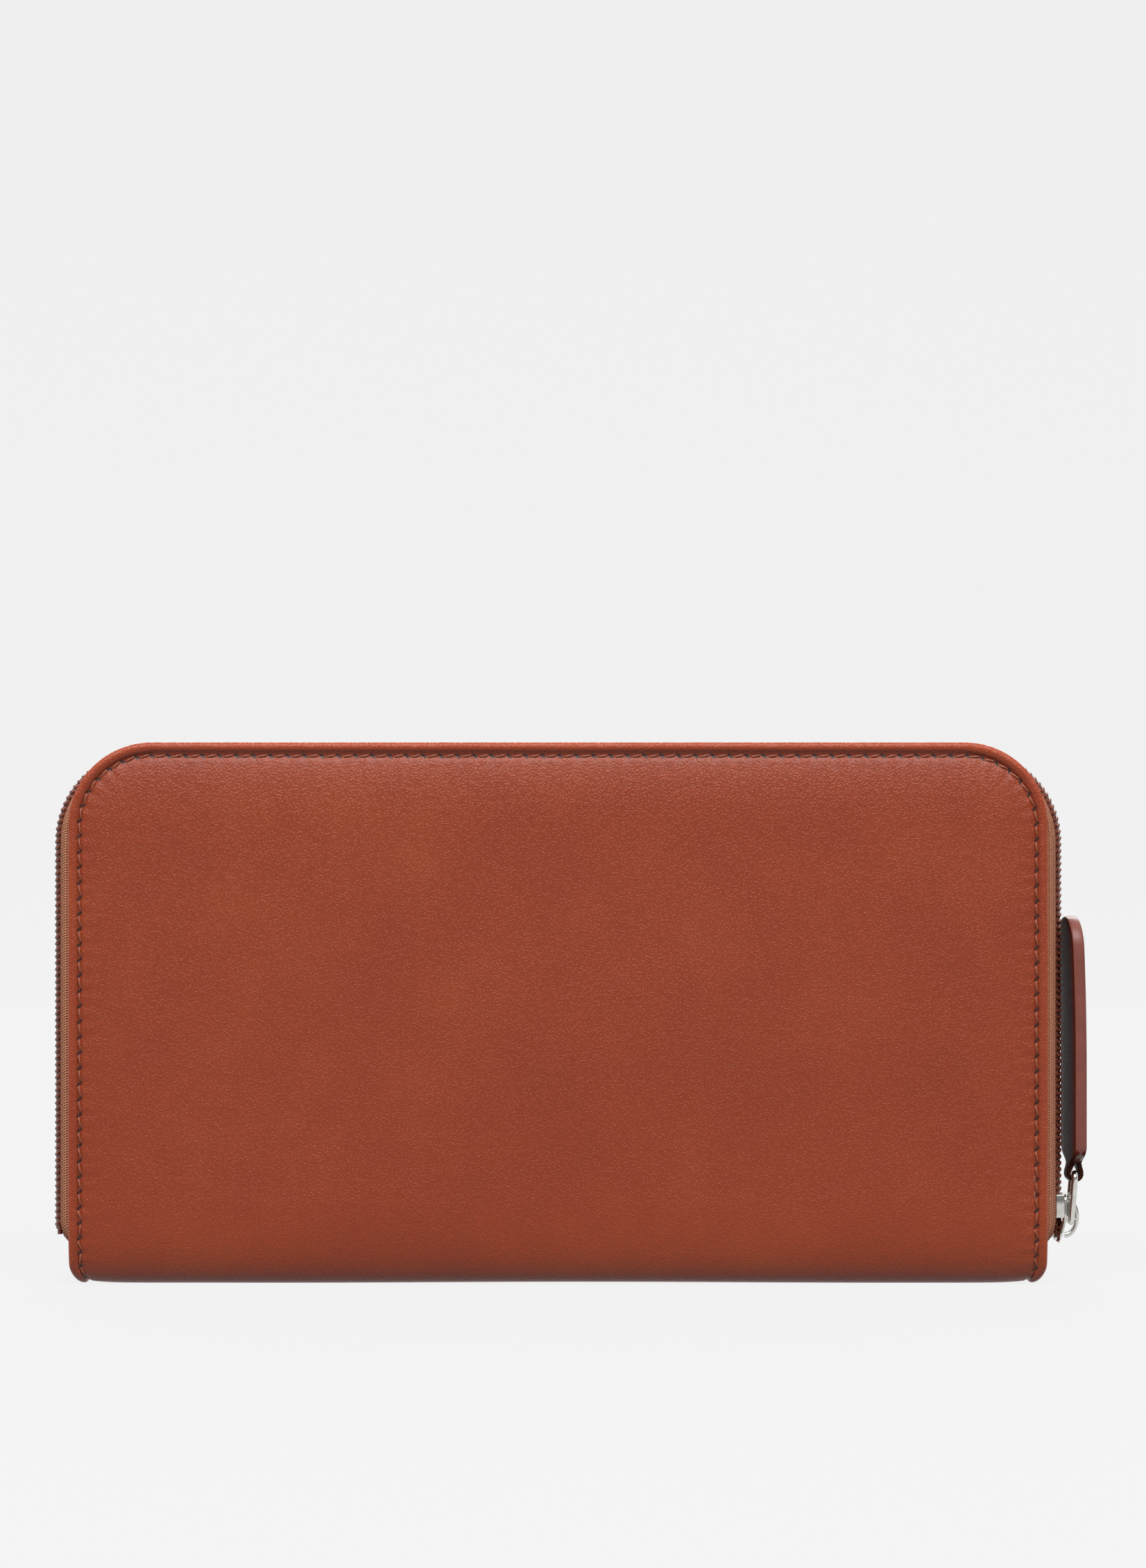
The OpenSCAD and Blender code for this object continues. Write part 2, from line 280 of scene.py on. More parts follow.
def pebble_leather(name, base, light, dark, seam=True, grain=0.42):
    """Calf leather, drum dyed and embossed with a pebble grain: a painted highlight on the tops of the pebbles and
    painted shade in the creases, and paler along the turned edge, partly where handling wears the finish and partly as
    a painted highlight."""
    made, shader = material(name)
    place = node(made, "TexCoord").outputs["Object"]
    # soft pebbles as wide as grain, in millimetres, and fine pores between them
    warp = node(made, "TexNoise", {"Vector": place, "Scale": 700, "Detail": 2}).outputs["Color"]
    bent = node(made, "MixRGB", {"Color1": place, "Color2": warp, "Fac": 0.0006})
    domes = node(made, "TexVoronoi", {"Vector": bent, "Scale": 1000 / grain, "Smoothness": 0.55}, feature="SMOOTH_F1")
    swell = node(made, "TexNoise", {"Vector": bent, "Scale": 260 / grain, "Detail": 1})
    pores = node(made, "TexNoise", {"Vector": place, "Scale": 3200, "Detail": 2, "Roughness": 0.5})
    pebble = node(made, "MapRange", {"Value": domes, "From Min": 0.62, "From Max": 0.08},
                  interpolation_type="SMOOTHSTEP")
    height = node(made, "Math", {0: swell, 1: 0.7, 2: pebble}, operation="MULTIPLY_ADD")
    height = node(made, "Math", {0: pores, 1: 0.12, 2: height}, operation="MULTIPLY_ADD")
    # slow differences in how deep the dye went
    mottle = node(made, "TexNoise", {"Vector": place, "Scale": 34, "Detail": 6, "Roughness": 0.65})
    tone = node(made, "ValToRGB", {"Fac": mottle},
                ramp=[(0.3, linear(dark)), (0.55, linear(base)), (0.8, linear(light))])
    # painted shade in the creases between the pebbles and a painted highlight on their tops
    painted_pebble_shade = node(made, "MapRange", {"Value": pebble, "To Min": 0.84, "To Max": 1.08})
    colour = node(made, "HueSaturation", {"Color": tone, "Value": painted_pebble_shade})
    rough = node(made, "MapRange", {"Value": pores, "From Min": 0.3, "From Max": 0.7, "To Min": 0.34, "To Max": 0.46})
    normal = node(made, "Bump", {"Height": height, "Strength": 0.75, "Distance": 0.00007})
    if seam:
        # the seam's own map: stitch number along it, and millimetres inside it
        split = node(made, "SeparateXYZ", {"Vector": node(made, "UVMap", uv_map="UVMap")})
        stitch, inside = split.outputs["X"], split.outputs["Y"]
        # one pucker for each stitch, not quite even, strongest half a millimetre inside the seam
        uneven = node(made, "TexNoise", {"Vector": place, "Scale": 240, "Detail": 1})
        uneven = node(made, "Math", {0: uneven, 1: 0.5}, operation="SUBTRACT")
        phase = node(made, "Math", {0: uneven, 1: 0.35, 2: stitch}, operation="MULTIPLY_ADD")
        phase = node(made, "Math", {0: phase, 1: 2 * math.pi}, operation="MULTIPLY")
        pull = node(made, "Math", {0: phase}, operation="COSINE")
        reach = node(made, "Math", {0: inside, 1: 0.1, 2: 0.22}, operation="MULTIPLY_ADD", use_clamp=True)
        fade = node(made, "ValToRGB", {"Fac": reach}, ramp=[
            (0.0, grey(0)), (0.18, grey(0.3)), (0.27, grey(1)), (0.42, grey(0.4)), (0.75, grey(0))])
        puckers = node(made, "Math", {0: pull, 1: fade}, operation="MULTIPLY")
        normal = node(made, "Bump", {"Height": puckers, "Strength": 0.6, "Distance": 0.0001, "Normal": normal})
        # slanting needle holes, one between each two stitches, painted dark as shade in and round each hole
        past = node(made, "Math", {0: stitch}, operation="FRACT")
        past = node(made, "Math", {0: past, 1: 3.0, 2: -1.5}, operation="MULTIPLY_ADD")
        over = node(made, "Math", {0: past, 1: inside}, operation="ADD")
        down = node(made, "Math", {0: past, 1: inside}, operation="SUBTRACT")
        over = node(made, "Math", {0: over, 1: over}, operation="MULTIPLY")
        down = node(made, "Math", {0: down, 1: down}, operation="MULTIPLY")
        over = node(made, "Math", {0: over, 1: 1.44}, operation="MULTIPLY")
        hole = node(made, "Math", {0: down, 1: 0.3364, 2: over}, operation="MULTIPLY_ADD")
        # painted shade: darker in and round each needle hole
        dot = node(made, "MapRange", {"Value": hole, "From Min": 0.10, "From Max": 0.50, "To Min": 0.13, "To Max": 1.0},
                   interpolation_type="SMOOTHSTEP")
        # paler along the turned rim: partly wear of the finish, partly a painted highlight along the edge
        wear_and_rim_highlight = node(made, "MapRange", {"Value": inside, "From Min": -2.0, "From Max": -1.3, "To Min": 1.3,
                                       "To Max": 1.0}, interpolation_type="SMOOTHSTEP")
        shade = node(made, "Math", {0: dot, 1: wear_and_rim_highlight}, operation="MULTIPLY")
        colour = node(made, "HueSaturation", {"Color": colour, "Value": shade})
    connect(made, shader, {"Base Color": colour, "Roughness": rough, "Normal": normal, "Specular IOR Level": 0.48,
                           "Sheen Weight": 0.04, "Sheen Roughness": 0.35})
    return made


def twisted_thread(name, code, dark):
    """Bonded polyester sewing thread, two plies twisted: a soft gloss on the crown of each ply."""
    made, shader = material(name)
    place = node(made, "TexCoord").outputs["Object"]
    fibres = node(made, "TexNoise", {"Vector": place, "Scale": 5200, "Detail": 3})
    tone = node(made, "ValToRGB", {"Fac": fibres}, ramp=[(0.35, linear(dark)), (0.65, linear(code))])
    normal = node(made, "Bump", {"Height": fibres, "Strength": 0.7, "Distance": 0.00006})
    connect(made, shader, {"Base Color": tone, "Normal": normal, "Roughness": 0.38})
    return made


cover_leather = pebble_leather("pebbled_calf_leather", "#9B3A11", "#A34319", "#93340E")
sewing_thread = twisted_thread("bonded_polyester_thread", "#A95F45", "#7A3B29")


def dress(piece, made, body=None):
    """Gives a piece its material and the body it rides on."""
    piece.data.materials.clear()
    piece.data.materials.append(made)
    if body:
        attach(piece, body)
    return piece


# ---- Outer leather ----

CORNER = 16.2
RIM_CURVE = [  # turned edge: run of leather from the rim, distance in from the outline, depth below the skin
    (-6.0, 5.0, 1.60), (-1.9, 0.95, 1.60), (-1.4, 0.50, 1.52), (-1.0, 0.18, 1.34), (-0.6, 0.03, 1.10),
    (-0.3, 0.0, 0.86), (0.1, 0.03, 0.62), (0.45, 0.16, 0.38), (0.8, 0.42, 0.19), (1.15, 0.75, 0.09),
    (1.55, 1.15, 0.10), (1.95, 1.60, 0.26), (2.2, 1.88, 0.44)]
RIM_LINES = [-6.0, -4.0, -1.9, -1.4, -1.0, -0.6, -0.3, 0.1, 0.45, 0.8, 1.15, 1.55, 1.95, 2.2, 2.4, 2.6, 2.85, 3.15,
             3.5, 4.0, 4.6, 5.4, 6.4, 7.6, 9.0]
FOOT_HIGH = 16.0
FOOT_IN = 6.4
SEAM_SIDE, SEAM_TOP = 2.2, 2.65
PADDING = 0.45
STITCH_SIDE, STITCH_TOP = 3.0, 3.3
TAPER_Z, TAPER_X = 4.0, 1.9


def foot_curve(s):
    """Point and inward normal of the leather's cross-section, s below the straight part, in Y and Z."""
    n = 2.8
    turns = np.linspace(0, math.pi / 2, 400)
    z = FOOT_HIGH - FOOT_HIGH * np.sin(turns) ** (2 / n)
    y = -SKIN + FOOT_IN * (1 - np.cos(turns) ** (2 / n))
    y, z = np.append(y, 0.0), np.append(z, 0.0)
    run = np.append(0, np.cumsum(np.hypot(np.diff(y), np.diff(z))))
    py, pz = np.interp(s, run, y), np.interp(s, run, z)
    ahead = np.minimum(s + 0.3, run[-1])
    behind = np.maximum(s - 0.3, 0)
    ty = np.interp(ahead, run, y) - np.interp(behind, run, y)
    tz = np.interp(ahead, run, z) - np.interp(behind, run, z)
    length = np.hypot(ty, tz)
    return py, pz, -tz / length, ty / length, run[-1]


FOOT_RUN = float(foot_curve(np.array([0.0]))[4])


def outline_place(x, z, half, top, corner):
    """Where a point of a straight grid lies once two corners are round: angle round the corner (0 side, 90 top),
    and distance in from the outline."""
    cx, cz = half - corner, top - corner
    p, q = (np.abs(x) - cx) / corner, (z - cz) / corner
    in_corner = (p > 0) & (q > 0)
    big, small = np.maximum(p, q), np.minimum(p, q)
    turn = math.pi / 4 * np.where(big > 0, small / np.where(big > 0, big, 1), 0)
    turn = np.where(p >= q, turn, math.pi / 2 - turn)
    away = np.where(in_corner, corner * (1 - big), np.minimum(half - np.abs(x), top - z))
    angle = np.where(in_corner, turn, np.where(half - np.abs(x) < top - z, 0.0, math.pi / 2))
    return in_corner, angle, away


def leather_skin(name):
    """The front cover with its half of the spine: one hide, edges turned over, drawn in at the seam."""
    rim = RIM_LINES
    middle_x = spaced(COVER_HALF - rim[-1], -COVER_HALF + rim[-1], 1.25)[1:-1]
    across = [-COVER_HALF + d for d in rim] + middle_x[::-1] + [COVER_HALF - d for d in reversed(rim)]
    foot = [-s for s in spaced(FOOT_RUN, 0, 0.95)]
    up = spaced(FOOT_HIGH, COVER_TOP - rim[-1], 1.15)[1:-1]
    along = foot + [z - FOOT_HIGH for z in up] + [COVER_TOP - d - FOOT_HIGH for d in reversed(rim)]
    piece, column, row = grid(name, across, along)
    x, t = np.array(across)[column], np.array(along)[row]
    z = t + FOOT_HIGH
    in_corner, angle, away = outline_place(x, z, COVER_HALF, COVER_TOP, CORNER)
    curve = np.array(RIM_CURVE)
    real = np.where(away < curve[-1, 0], np.interp(away, curve[:, 0], curve[:, 1]), away - 0.32)
    real = np.where(away > 12, away, np.where(away > curve[-1, 0], away - 0.32 * (12 - away) / 9.8, real))
    side = np.sign(x)
    cx, cz = COVER_HALF - CORNER, COVER_TOP - CORNER
    nx = np.where(in_corner, side * (cx + (CORNER - real) * np.cos(angle)), x)
    nz = np.where(in_corner, cz + (CORNER - real) * np.sin(angle), z)
    by_side = ~in_corner & (angle == 0) & (away < 12)
    by_top = ~in_corner & (angle > 0) & (away < 12)
    nx = np.where(by_side, side * (COVER_HALF - real), nx)
    nz = np.where(by_top, COVER_TOP - real, nz)
    # how far inside the seam each point is, and the stitch it lies beside
    topness = np.sin(angle) ** 2
    inside = real - (SEAM_SIDE + (SEAM_TOP - SEAM_SIDE) * topness)
    inside = np.where(away < 0, -SEAM_SIDE, inside)
    arc = CORNER - SEAM_SIDE
    run_side = np.where(t < 0, t, z - FOOT_HIGH)
    lower = run_side / STITCH_SIDE
    corner_run = (cz - FOOT_HIGH) / STITCH_SIDE
    top_start = corner_run + arc * math.pi / 2 / STITCH_SIDE
    right = np.where(in_corner, corner_run + arc * angle / STITCH_SIDE, lower)
    stitch = np.where(by_top | (~in_corner & (angle > 0)), top_start + (cx - nx) / STITCH_TOP, right)
    full = top_start * 2 + 2 * cx / STITCH_TOP
    stitch = np.where((side < 0) & ((angle == 0) | in_corner), full - right, stitch)
    # depth below the skin: rim, seam groove, and the padded middle
    depth = np.where(away < curve[-1, 0], np.interp(away, curve[:, 0], curve[:, 2]), 0.0)
    within = np.maximum(inside, 0)
    fade = np.clip(1 - within / 13.5, 0, 1) ** 0.7
    cy, cz2, ny, nzn, _ = foot_curve(np.maximum(-t, 0))
    lift = np.clip((np.where(t < 0, cz2, FOOT_HIGH) - 1) / 15, 0, 1)
    ease = np.clip(1 - within / 12.5, 0, 1) ** 2
    swell = 0.5 * np.exp(-within / 3.5) * fade + 0.3 * topness * ease - PADDING * (1 - ease) * lift
    depth = np.where(away >= curve[-1, 0], swell, depth)
    depth += 0.30 * np.exp(-(inside / 0.38) ** 2) * (away > 0)
    broad = np.clip((real - 8) / 30, 0, 1)
    depth += broad * 0.10 * (1 + np.sin(nx * 0.052 + 1.3) * np.cos(nz * 0.071 + 0.4))
    # cross-section: straight up, or round the foot and under to the middle of the spine
    y = np.where(t < 0, cy, -SKIN) + depth * np.where(t < 0, ny, 1.0)
    nz = np.where(t < 0, cz2 + depth * nzn, nz)
    narrow = TAPER_X * np.clip((TAPER_Z - nz) / TAPER_Z, 0, 1) ** 1.8
    nx = nx * (1 - narrow / COVER_HALF)
    move_points(piece, np.stack([nx, y, nz], 1) * MM)
    give_uv(piece, np.stack([stitch, inside], 1))
    facing(piece, (0, -1, 0))
    finish_with(piece, "SOLIDIFY", thickness=0.00035, offset=-1)
    return smooth(piece, 60), full


def cover_bend(piece):
    """Puts the piece's place into its mesh."""
    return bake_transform(piece)


leather_front, STITCH_COUNT = leather_skin("leather_front")
leather_rear = mirrored(leather_front, "leather_rear")
for piece, cover in ((leather_front, "front"), (leather_rear, "rear")):
    dress(piece, cover_leather)
    cover_bend(piece)
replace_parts(leather_front, "cover_front", "cover_spine")
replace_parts(leather_rear, "cover_rear")


def tube(name, points, radius, sides, closed=False, ups=None, square=1.0):
    """A cylinder primitive whose rings are moved onto a path, in millimetres. radius is a value or an (across, up)
    pair, or a list of them; square below 1 flattens the sides."""
    points = [Vector(point) for point in points]
    rings = len(points)
    piece = add("cylinder", name, vertices=sides, radius=1, depth=1, end_fill_type="NOTHING" if closed else "NGON")
    count = rings + (1 if closed else 0)
    shape(piece, "EDGE", lambda middle, part: abs(middle.z) < 1, "subdivide", number_cuts=count - 2)
    start = points_of(piece)
    ring = np.rint((start[:, 2] + 0.5) * (count - 1)).astype(int)
    ahead = [(points[(i + 1) % rings] if closed or i + 1 < rings else points[i]) for i in range(rings)]
    behind = [(points[i - 1] if closed or i else points[0]) for i in range(rings)]
    frames = []
    for i in range(rings):
        along = (ahead[i] - behind[i]).normalized()
        up = Vector(ups[i]) if ups else Vector((0, 1, 0))
        across = along.cross(up).normalized()
        frames.append((across, across.cross(along).normalized()))
    places = np.empty_like(start)
    for index, (co, i) in enumerate(zip(start, ring)):
        i = i % rings
        size = radius[i] if isinstance(radius, list) else radius
        wide, high = size if isinstance(size, tuple) else (size, size)
        across, up = frames[i]
        a, b = (math.copysign(abs(c) ** square, c) for c in co[:2])
        places[index] = points[i] + across * (a * wide) + up * (b * high)
    move_points(piece, places * MM)
    return outward(piece)


# ---- Seam ----

def seam_place(stitch):
    """Middle of a stitch on the front cover, its direction along the seam and the way out of the leather."""
    cx, cz = COVER_HALF - CORNER, COVER_TOP - CORNER
    arc = CORNER - SEAM_SIDE
    straight = (cz - FOOT_HIGH) / STITCH_SIDE
    corner = arc * math.pi / 2 / STITCH_SIDE
    full = 2 * (straight + corner) + 2 * cx / STITCH_TOP
    side = 1 if stitch < full / 2 else -1
    k = stitch if side > 0 else full - stitch
    out = Vector((0, -1, 0))
    depth = 0.58
    if k < 0:
        s = -k * STITCH_SIDE
        y, z, ny, nz, _ = (float(np.ravel(v)[0]) for v in foot_curve(np.array([s])))
        narrow = TAPER_X * max(0, (TAPER_Z - z) / TAPER_Z) ** 1.8
        point = Vector((side * (COVER_HALF - SEAM_SIDE - narrow), y + depth * ny, z + depth * nz))
        out = Vector((0, -ny, -nz))
        along = Vector((0, -nz, ny))
    elif k < straight:
        point = Vector((side * (COVER_HALF - SEAM_SIDE), -SKIN + depth, FOOT_HIGH + k * STITCH_SIDE))
        along = Vector((0, 0, 1))
    elif k < straight + corner:
        turn = (k - straight) * STITCH_SIDE / arc
        r = CORNER - SEAM_SIDE - (SEAM_TOP - SEAM_SIDE) * math.sin(turn) ** 2
        depth += 0.26 * math.sin(turn) ** 2
        point = Vector((side * (cx + r * math.cos(turn)), -SKIN + depth, cz + r * math.sin(turn)))
        along = Vector((-side * math.sin(turn), 0, math.cos(turn)))
    else:
        depth += 0.26
        point = Vector((side * (cx - (k - straight - corner) * STITCH_TOP), -SKIN + depth, COVER_TOP - SEAM_TOP))
        along = Vector((-side, 0, 0))
    return point, along, out


def one_stitch():
    """A stitch of twisted thread, 2.1 mm long between its two needle holes, along Z with its crown to -Y."""
    lengths = [-1.32, -1.1, -0.75, -0.3, 0.2, 0.65, 1.02, 1.25]
    crown = [0.75, 0.32, 0.10, 0.02, 0.0, 0.04, 0.24, 0.7]
    thick = [0.12, 0.19, 0.22, 0.24, 0.24, 0.22, 0.19, 0.12]
    path = [(0.10 * z, h, z) for z, h in zip(lengths, crown)]
    stitch = tube("stitch", path, [(r, r * 0.8) for r in thick], 7, ups=[(0, -1, 0.001)] * len(path))
    return stitch


def leaned(point, along, out, lean=0.0):
    """The matrix that stands a shape at a point: its Z along, its -Y out."""
    across = along.cross(-out).normalized()
    turn = Matrix((across, -out, along)).transposed().to_4x4() @ Matrix.Rotation(lean, 4, "Y")
    return Matrix.Translation(point * MM) @ turn


def seam(name, cover):
    lowest = -int((FOOT_RUN - 7.5) / STITCH_SIDE)
    places = []
    for k in range(lowest, int(STITCH_COUNT - lowest) + 1):
        point, along, out = seam_place(k)
        up = along if along.z > 0.3 or abs(along.x) > 0.3 else -along
        if abs(up.x) > 0.5 and up.x > 0:
            up = -up
        wobble = math.sin(k * 12.9898) * 0.05 + (0.3 * (-1) ** k if k < 0 or k > STITCH_COUNT else 0)
        places.append(leaned(point, up, out, 0.09 + wobble))
    # the machine's last stitches on the right, sewn back over the row beside them
    for k in (0.5, 1.5):
        point, along, out = seam_place(k)
        places.append(leaned(point - Vector((0.42, 0.05, 0)), along, out, 0.04))
    threads = smooth(repeated(one_stitch(), places, name), 80)
    if cover == "rear":
        turned = mirrored(threads, name)
        bpy.data.objects.remove(threads)
        turned.name = turned.data.name = name
        threads = turned
    dress(threads, sewing_thread)
    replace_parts(threads, "seam_thread_" + cover)
    return cover_bend(threads)


seam("stitches_front", "front")
seam("stitches_rear", "rear")


# ---- Zip ----

ZIP_R, COIL_HIGH = 18.4, 1.9
coil_high = mm_box("zip_coil_rear")[1]
ZIP_HALF, ZIP_TOP = coil_high.x, coil_high.z


def round_path(half, top, corner, low_right, low_left, step):
    """Points up the right side, round both corners and down the left, each with its way out and its run."""
    cx, cz = half - corner, top - corner
    ups = [(half, z, 1.0, 0.0) for z in spaced(low_right, cz, step)]
    turn = [(cx + corner * math.cos(a), cz + corner * math.sin(a), math.cos(a), math.sin(a))
            for a in spaced(0, math.pi / 2, step / corner)[1:]]
    over = [(x, top, 0.0, 1.0) for x in spaced(cx, -cx, step)[1:]]
    back = [(-x, z, -nx, nz) for x, z, nx, nz in reversed(turn)][1:]
    down = [(-half, z, -1.0, 0.0) for z in spaced(cz, low_left, step)[1:]]
    return ups + turn + over + back + down


def knit_tape(name, code, dark, light):
    """Woven polyester zip tape: ribs along the tape crossed by slanting loops, with a dry soft surface."""
    made, shader = material(name)
    uv = node(made, "UVMap", uv_map="UVMap")
    # ribs 0.55 mm apart along the tape, and slanting picks 0.5 mm apart
    slant = node(made, "Mapping", {"Vector": uv, "Rotation": (0, 0, math.radians(28)), "Scale": (2.0, 2.0, 1)})
    picks = node(made, "TexWave", {"Vector": slant, "Scale": 0.32, "Distortion": 0.6, "Detail": 1},
                 wave_type="BANDS", bands_direction="X").outputs["Fac"]
    straight = node(made, "Mapping", {"Vector": uv, "Scale": (1.8, 1.8, 1)})
    ribs = node(made, "TexWave", {"Vector": straight, "Scale": 0.32, "Distortion": 0.3},
                wave_type="BANDS", bands_direction="Y").outputs["Fac"]
    place = node(made, "TexCoord").outputs["Object"]
    fuzz = node(made, "TexNoise", {"Vector": place, "Scale": 2600, "Detail": 3})
    weave = node(made, "Math", {0: picks, 1: 0.48}, operation="MULTIPLY")
    weave = node(made, "Math", {0: ribs, 1: 0.32, 2: weave}, operation="MULTIPLY_ADD")
    weave = node(made, "Math", {0: fuzz, 1: 0.25, 2: weave}, operation="MULTIPLY_ADD")
    tone = node(made, "ValToRGB", {"Fac": weave},
                ramp=[(0.15, linear(dark)), (0.5, linear(code)), (0.85, linear(light))])
    normal = node(made, "Bump", {"Height": weave, "Strength": 0.8, "Distance": 0.00022})
    connect(made, shader, {"Base Color": tone, "Normal": normal, "Roughness": 0.9, "Specular IOR Level": 0.1})
    return made


def nylon_coil(name, code, dark):
    """Extruded nylon filament, wound into a coil: smooth, half glossy, a little darker where it is shaded."""
    made, shader = material(name)
    place = node(made, "TexCoord").outputs["Object"]
    cloud = node(made, "TexNoise", {"Vector": place, "Scale": 900, "Detail": 2})
    tone = node(made, "ValToRGB", {"Fac": cloud}, ramp=[(0.35, linear(dark)), (0.65, linear(code))])
    rough = node(made, "MapRange", {"Value": cloud, "To Min": 0.22, "To Max": 0.4})
    normal = node(made, "Bump", {"Height": cloud, "Strength": 0.4, "Distance": 0.00005})
    connect(made, shader, {"Base Color": tone, "Roughness": rough, "Normal": normal, "IOR": 1.53})
    return made


tape_cloth = knit_tape("woven_polyester_tape", "#B87354", "#824633", "#DCA487")
coil_nylon = nylon_coil("nylon_coil_filament", "#8C4E3A", "#6B3325")

TAPE_RAILS = [  # from the seam allowance to the coil: half width, top, corner radius, depth
    (90.4, 100.8, 11.6, 10.6), (94.2, 103.0, 15.4, 10.6), (95.6, 103.4, 16.4, 10.35), (96.45, 103.3, 17.0, 9.2),
    (96.85, 103.0, 17.0, 6.6), (96.85, 102.6, 16.6, 3.6), (96.75, 102.35, 16.35, 2.3), (96.75, 102.35, 16.35, 0.6)]


def tape_strip(name, cover):
    """Half of the zip tape, from under the lining out to the coil."""
    paths = [round_path(half, top, corner, 7.2, 7.2, 2.2) for half, top, corner, _ in TAPE_RAILS]
    count = min(len(path) for path in paths)
    across, along = list(range(3 * (len(TAPE_RAILS) - 1) + 1)), list(range(161))
    piece, column, row = grid(name, across, along)
    rails = []
    for (half, top, corner, depth), path in zip(TAPE_RAILS, paths):
        xz = np.array([(x, z) for x, z, _, _ in path])
        run = np.append(0, np.cumsum(np.hypot(*np.diff(xz, axis=0).T)))
        at = np.linspace(0, 1, len(along)) * run[-1]
        rails.append(np.stack([np.interp(at, run, xz[:, 0]), np.full(len(along), -depth),
                               np.interp(at, run, xz[:, 1])], 1))
    rails = np.array(rails)
    place = column / 3
    low = np.minimum(place.astype(int), len(TAPE_RAILS) - 2)
    part = (place - low)[:, None]
    points = rails[low, row] * (1 - part) + rails[low + 1, row] * part
    tuck = 2.4 * np.clip((11.5 - points[:, 2]) / 4.3, 0, 1) ** 2 * np.clip(place / 2, 0, 1)
    points[:, 0] -= np.sign(points[:, 0]) * tuck
    wide = np.append(0, np.cumsum([3.8, 1.4, 1.4, 2.6, 3.0, 1.3, 1.7]))
    s = row / (len(along) - 1) * 405
    give_uv(piece, np.stack([s, np.interp(place, range(len(wide)), wide)], 1))
    move_points(piece, points * MM)
    finish_with(piece, "SOLIDIFY", thickness=0.0004, offset=0)
    outward(piece)
    smooth(piece, 50)
    dress(piece, tape_cloth)
    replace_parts(piece, "zip_tape_" + cover)
    return piece


def one_coil_turn(depth_out=2.15, depth_in=0.05, pitch=1.25, wire=0.34):
    """One turn of the filament, flattened, at the middle of the coil: Y across, X out, Z along the zip."""
    path = []
    reach = (depth_out - wire - depth_in) / 2
    for i in range(11):
        a = 2 * math.pi * i / 10
        path.append((0.6 * math.sin(a), -depth_in - reach * (1 + math.cos(a)),
                     pitch * (i / 10 - 0.5) - 0.22 * math.sin(a) * max(0, math.cos(a))))
    return tube("turn", path, wire, 6, ups=[(0.2, 0, 1)] * len(path))


def coil(name, path, cover_shift):
    """Turns of the filament round a filler cord, along a path of places and ways out."""
    run = [0.0]
    for (x0, z0, _, _), (x1, z1, _, _) in zip(path, path[1:]):
        run.append(run[-1] + math.hypot(x1 - x0, z1 - z0))
    places = []
    columns = [np.array(values) for values in zip(*path)]
    at = 0.7 + cover_shift
    while at < run[-1] - 0.6:
        x, z, nx, nz = (float(np.interp(at, run, values)) for values in columns)
        out = Vector((nx, 0, nz)).normalized()
        along = Vector((-out.z, 0, out.x))
        turn = Matrix((out, along.cross(out), along)).transposed().to_4x4()
        places.append(Matrix.Translation(Vector((x, 0, z)) * MM) @ turn)
        at += 1.25
    turns = repeated(one_coil_turn(), places, name)
    core = tube(name + "_core", [(x - nx * 0.1, -1.05, z - nz * 0.1) for x, z, nx, nz in path], (0.5, 0.8), 8)
    return smooth(joined(name, [turns, core]), 80)


def main_coil(name, cover):
    centre = COIL_HIGH / 2
    shift = 0.0 if cover == "front" else 0.625
    path = round_path(ZIP_HALF - centre, ZIP_TOP - centre, ZIP_R - centre, 8.9, 9.0, 1.0)
    piece = coil(name, path, shift)
    dress(piece, coil_nylon)
    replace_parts(piece, "zip_coil_" + cover)
    return piece


def to_rear(piece):
    """Moves a piece made for the front half to the rear half."""
    name = piece.name
    turned = mirrored(piece, name + "_turned")
    for key in piece.keys():
        turned[key] = piece[key]
    bpy.data.objects.remove(piece)
    turned.name = turned.data.name = name
    return turned


for cover in ("front", "rear"):
    for piece in (tape_strip("tape_" + cover, cover), main_coil("coil_" + cover, cover)):
        if cover == "rear":
            piece = to_rear(piece)
        cover_bend(piece)


# ---- Metal ----

def plated_zinc(name, bright="#D9D7D2", dull="#C4C1BB"):
    """Die-cast zinc with bright nickel plate: clear reflections, faint tumbling marks and a little handling haze."""
    made, shader = material(name)
    place = node(made, "TexCoord").outputs["Object"]
    haze = node(made, "TexNoise", {"Vector": place, "Scale": 700, "Detail": 3})
    marks = node(made, "TexNoise", {"Vector": place, "Scale": 2600, "Detail": 2})
    rough = node(made, "MapRange", {"Value": haze, "From Min": 0.35, "From Max": 0.75, "To Min": 0.08, "To Max": 0.22})
    tone = node(made, "ValToRGB", {"Fac": haze}, ramp=[(0.3, linear(bright)), (0.8, linear(dull))])
    normal = node(made, "Bump", {"Height": marks, "Strength": 0.25, "Distance": 0.00003})
    connect(made, shader, {"Base Color": tone, "Roughness": rough, "Normal": normal, "Metallic": 1.0})
    return made


nickel = plated_zinc("nickel_plated_zinc")


def block(name, low, high, round_by=0.0, segments=3):
    """A cube primitive between two corners in millimetres, its edges rounded."""
    low, high = Vector(low), Vector(high)
    piece = add("cube", name, size=1, location=(low + high) / 2 * MM)
    piece.scale = (high - low) * MM
    settle(piece)
    if round_by:
        shape(piece, "EDGE", everywhere, "bevel", offset=round_by * MM, segments=segments)
    return piece


def placed(piece, matrix):
    """Moves a finished piece and keeps it at the origin."""
    points = points_of(piece)
    turn = np.array(matrix.to_3x3())
    move_points(piece, points @ turn.T + np.array(matrix.translation))
    return piece


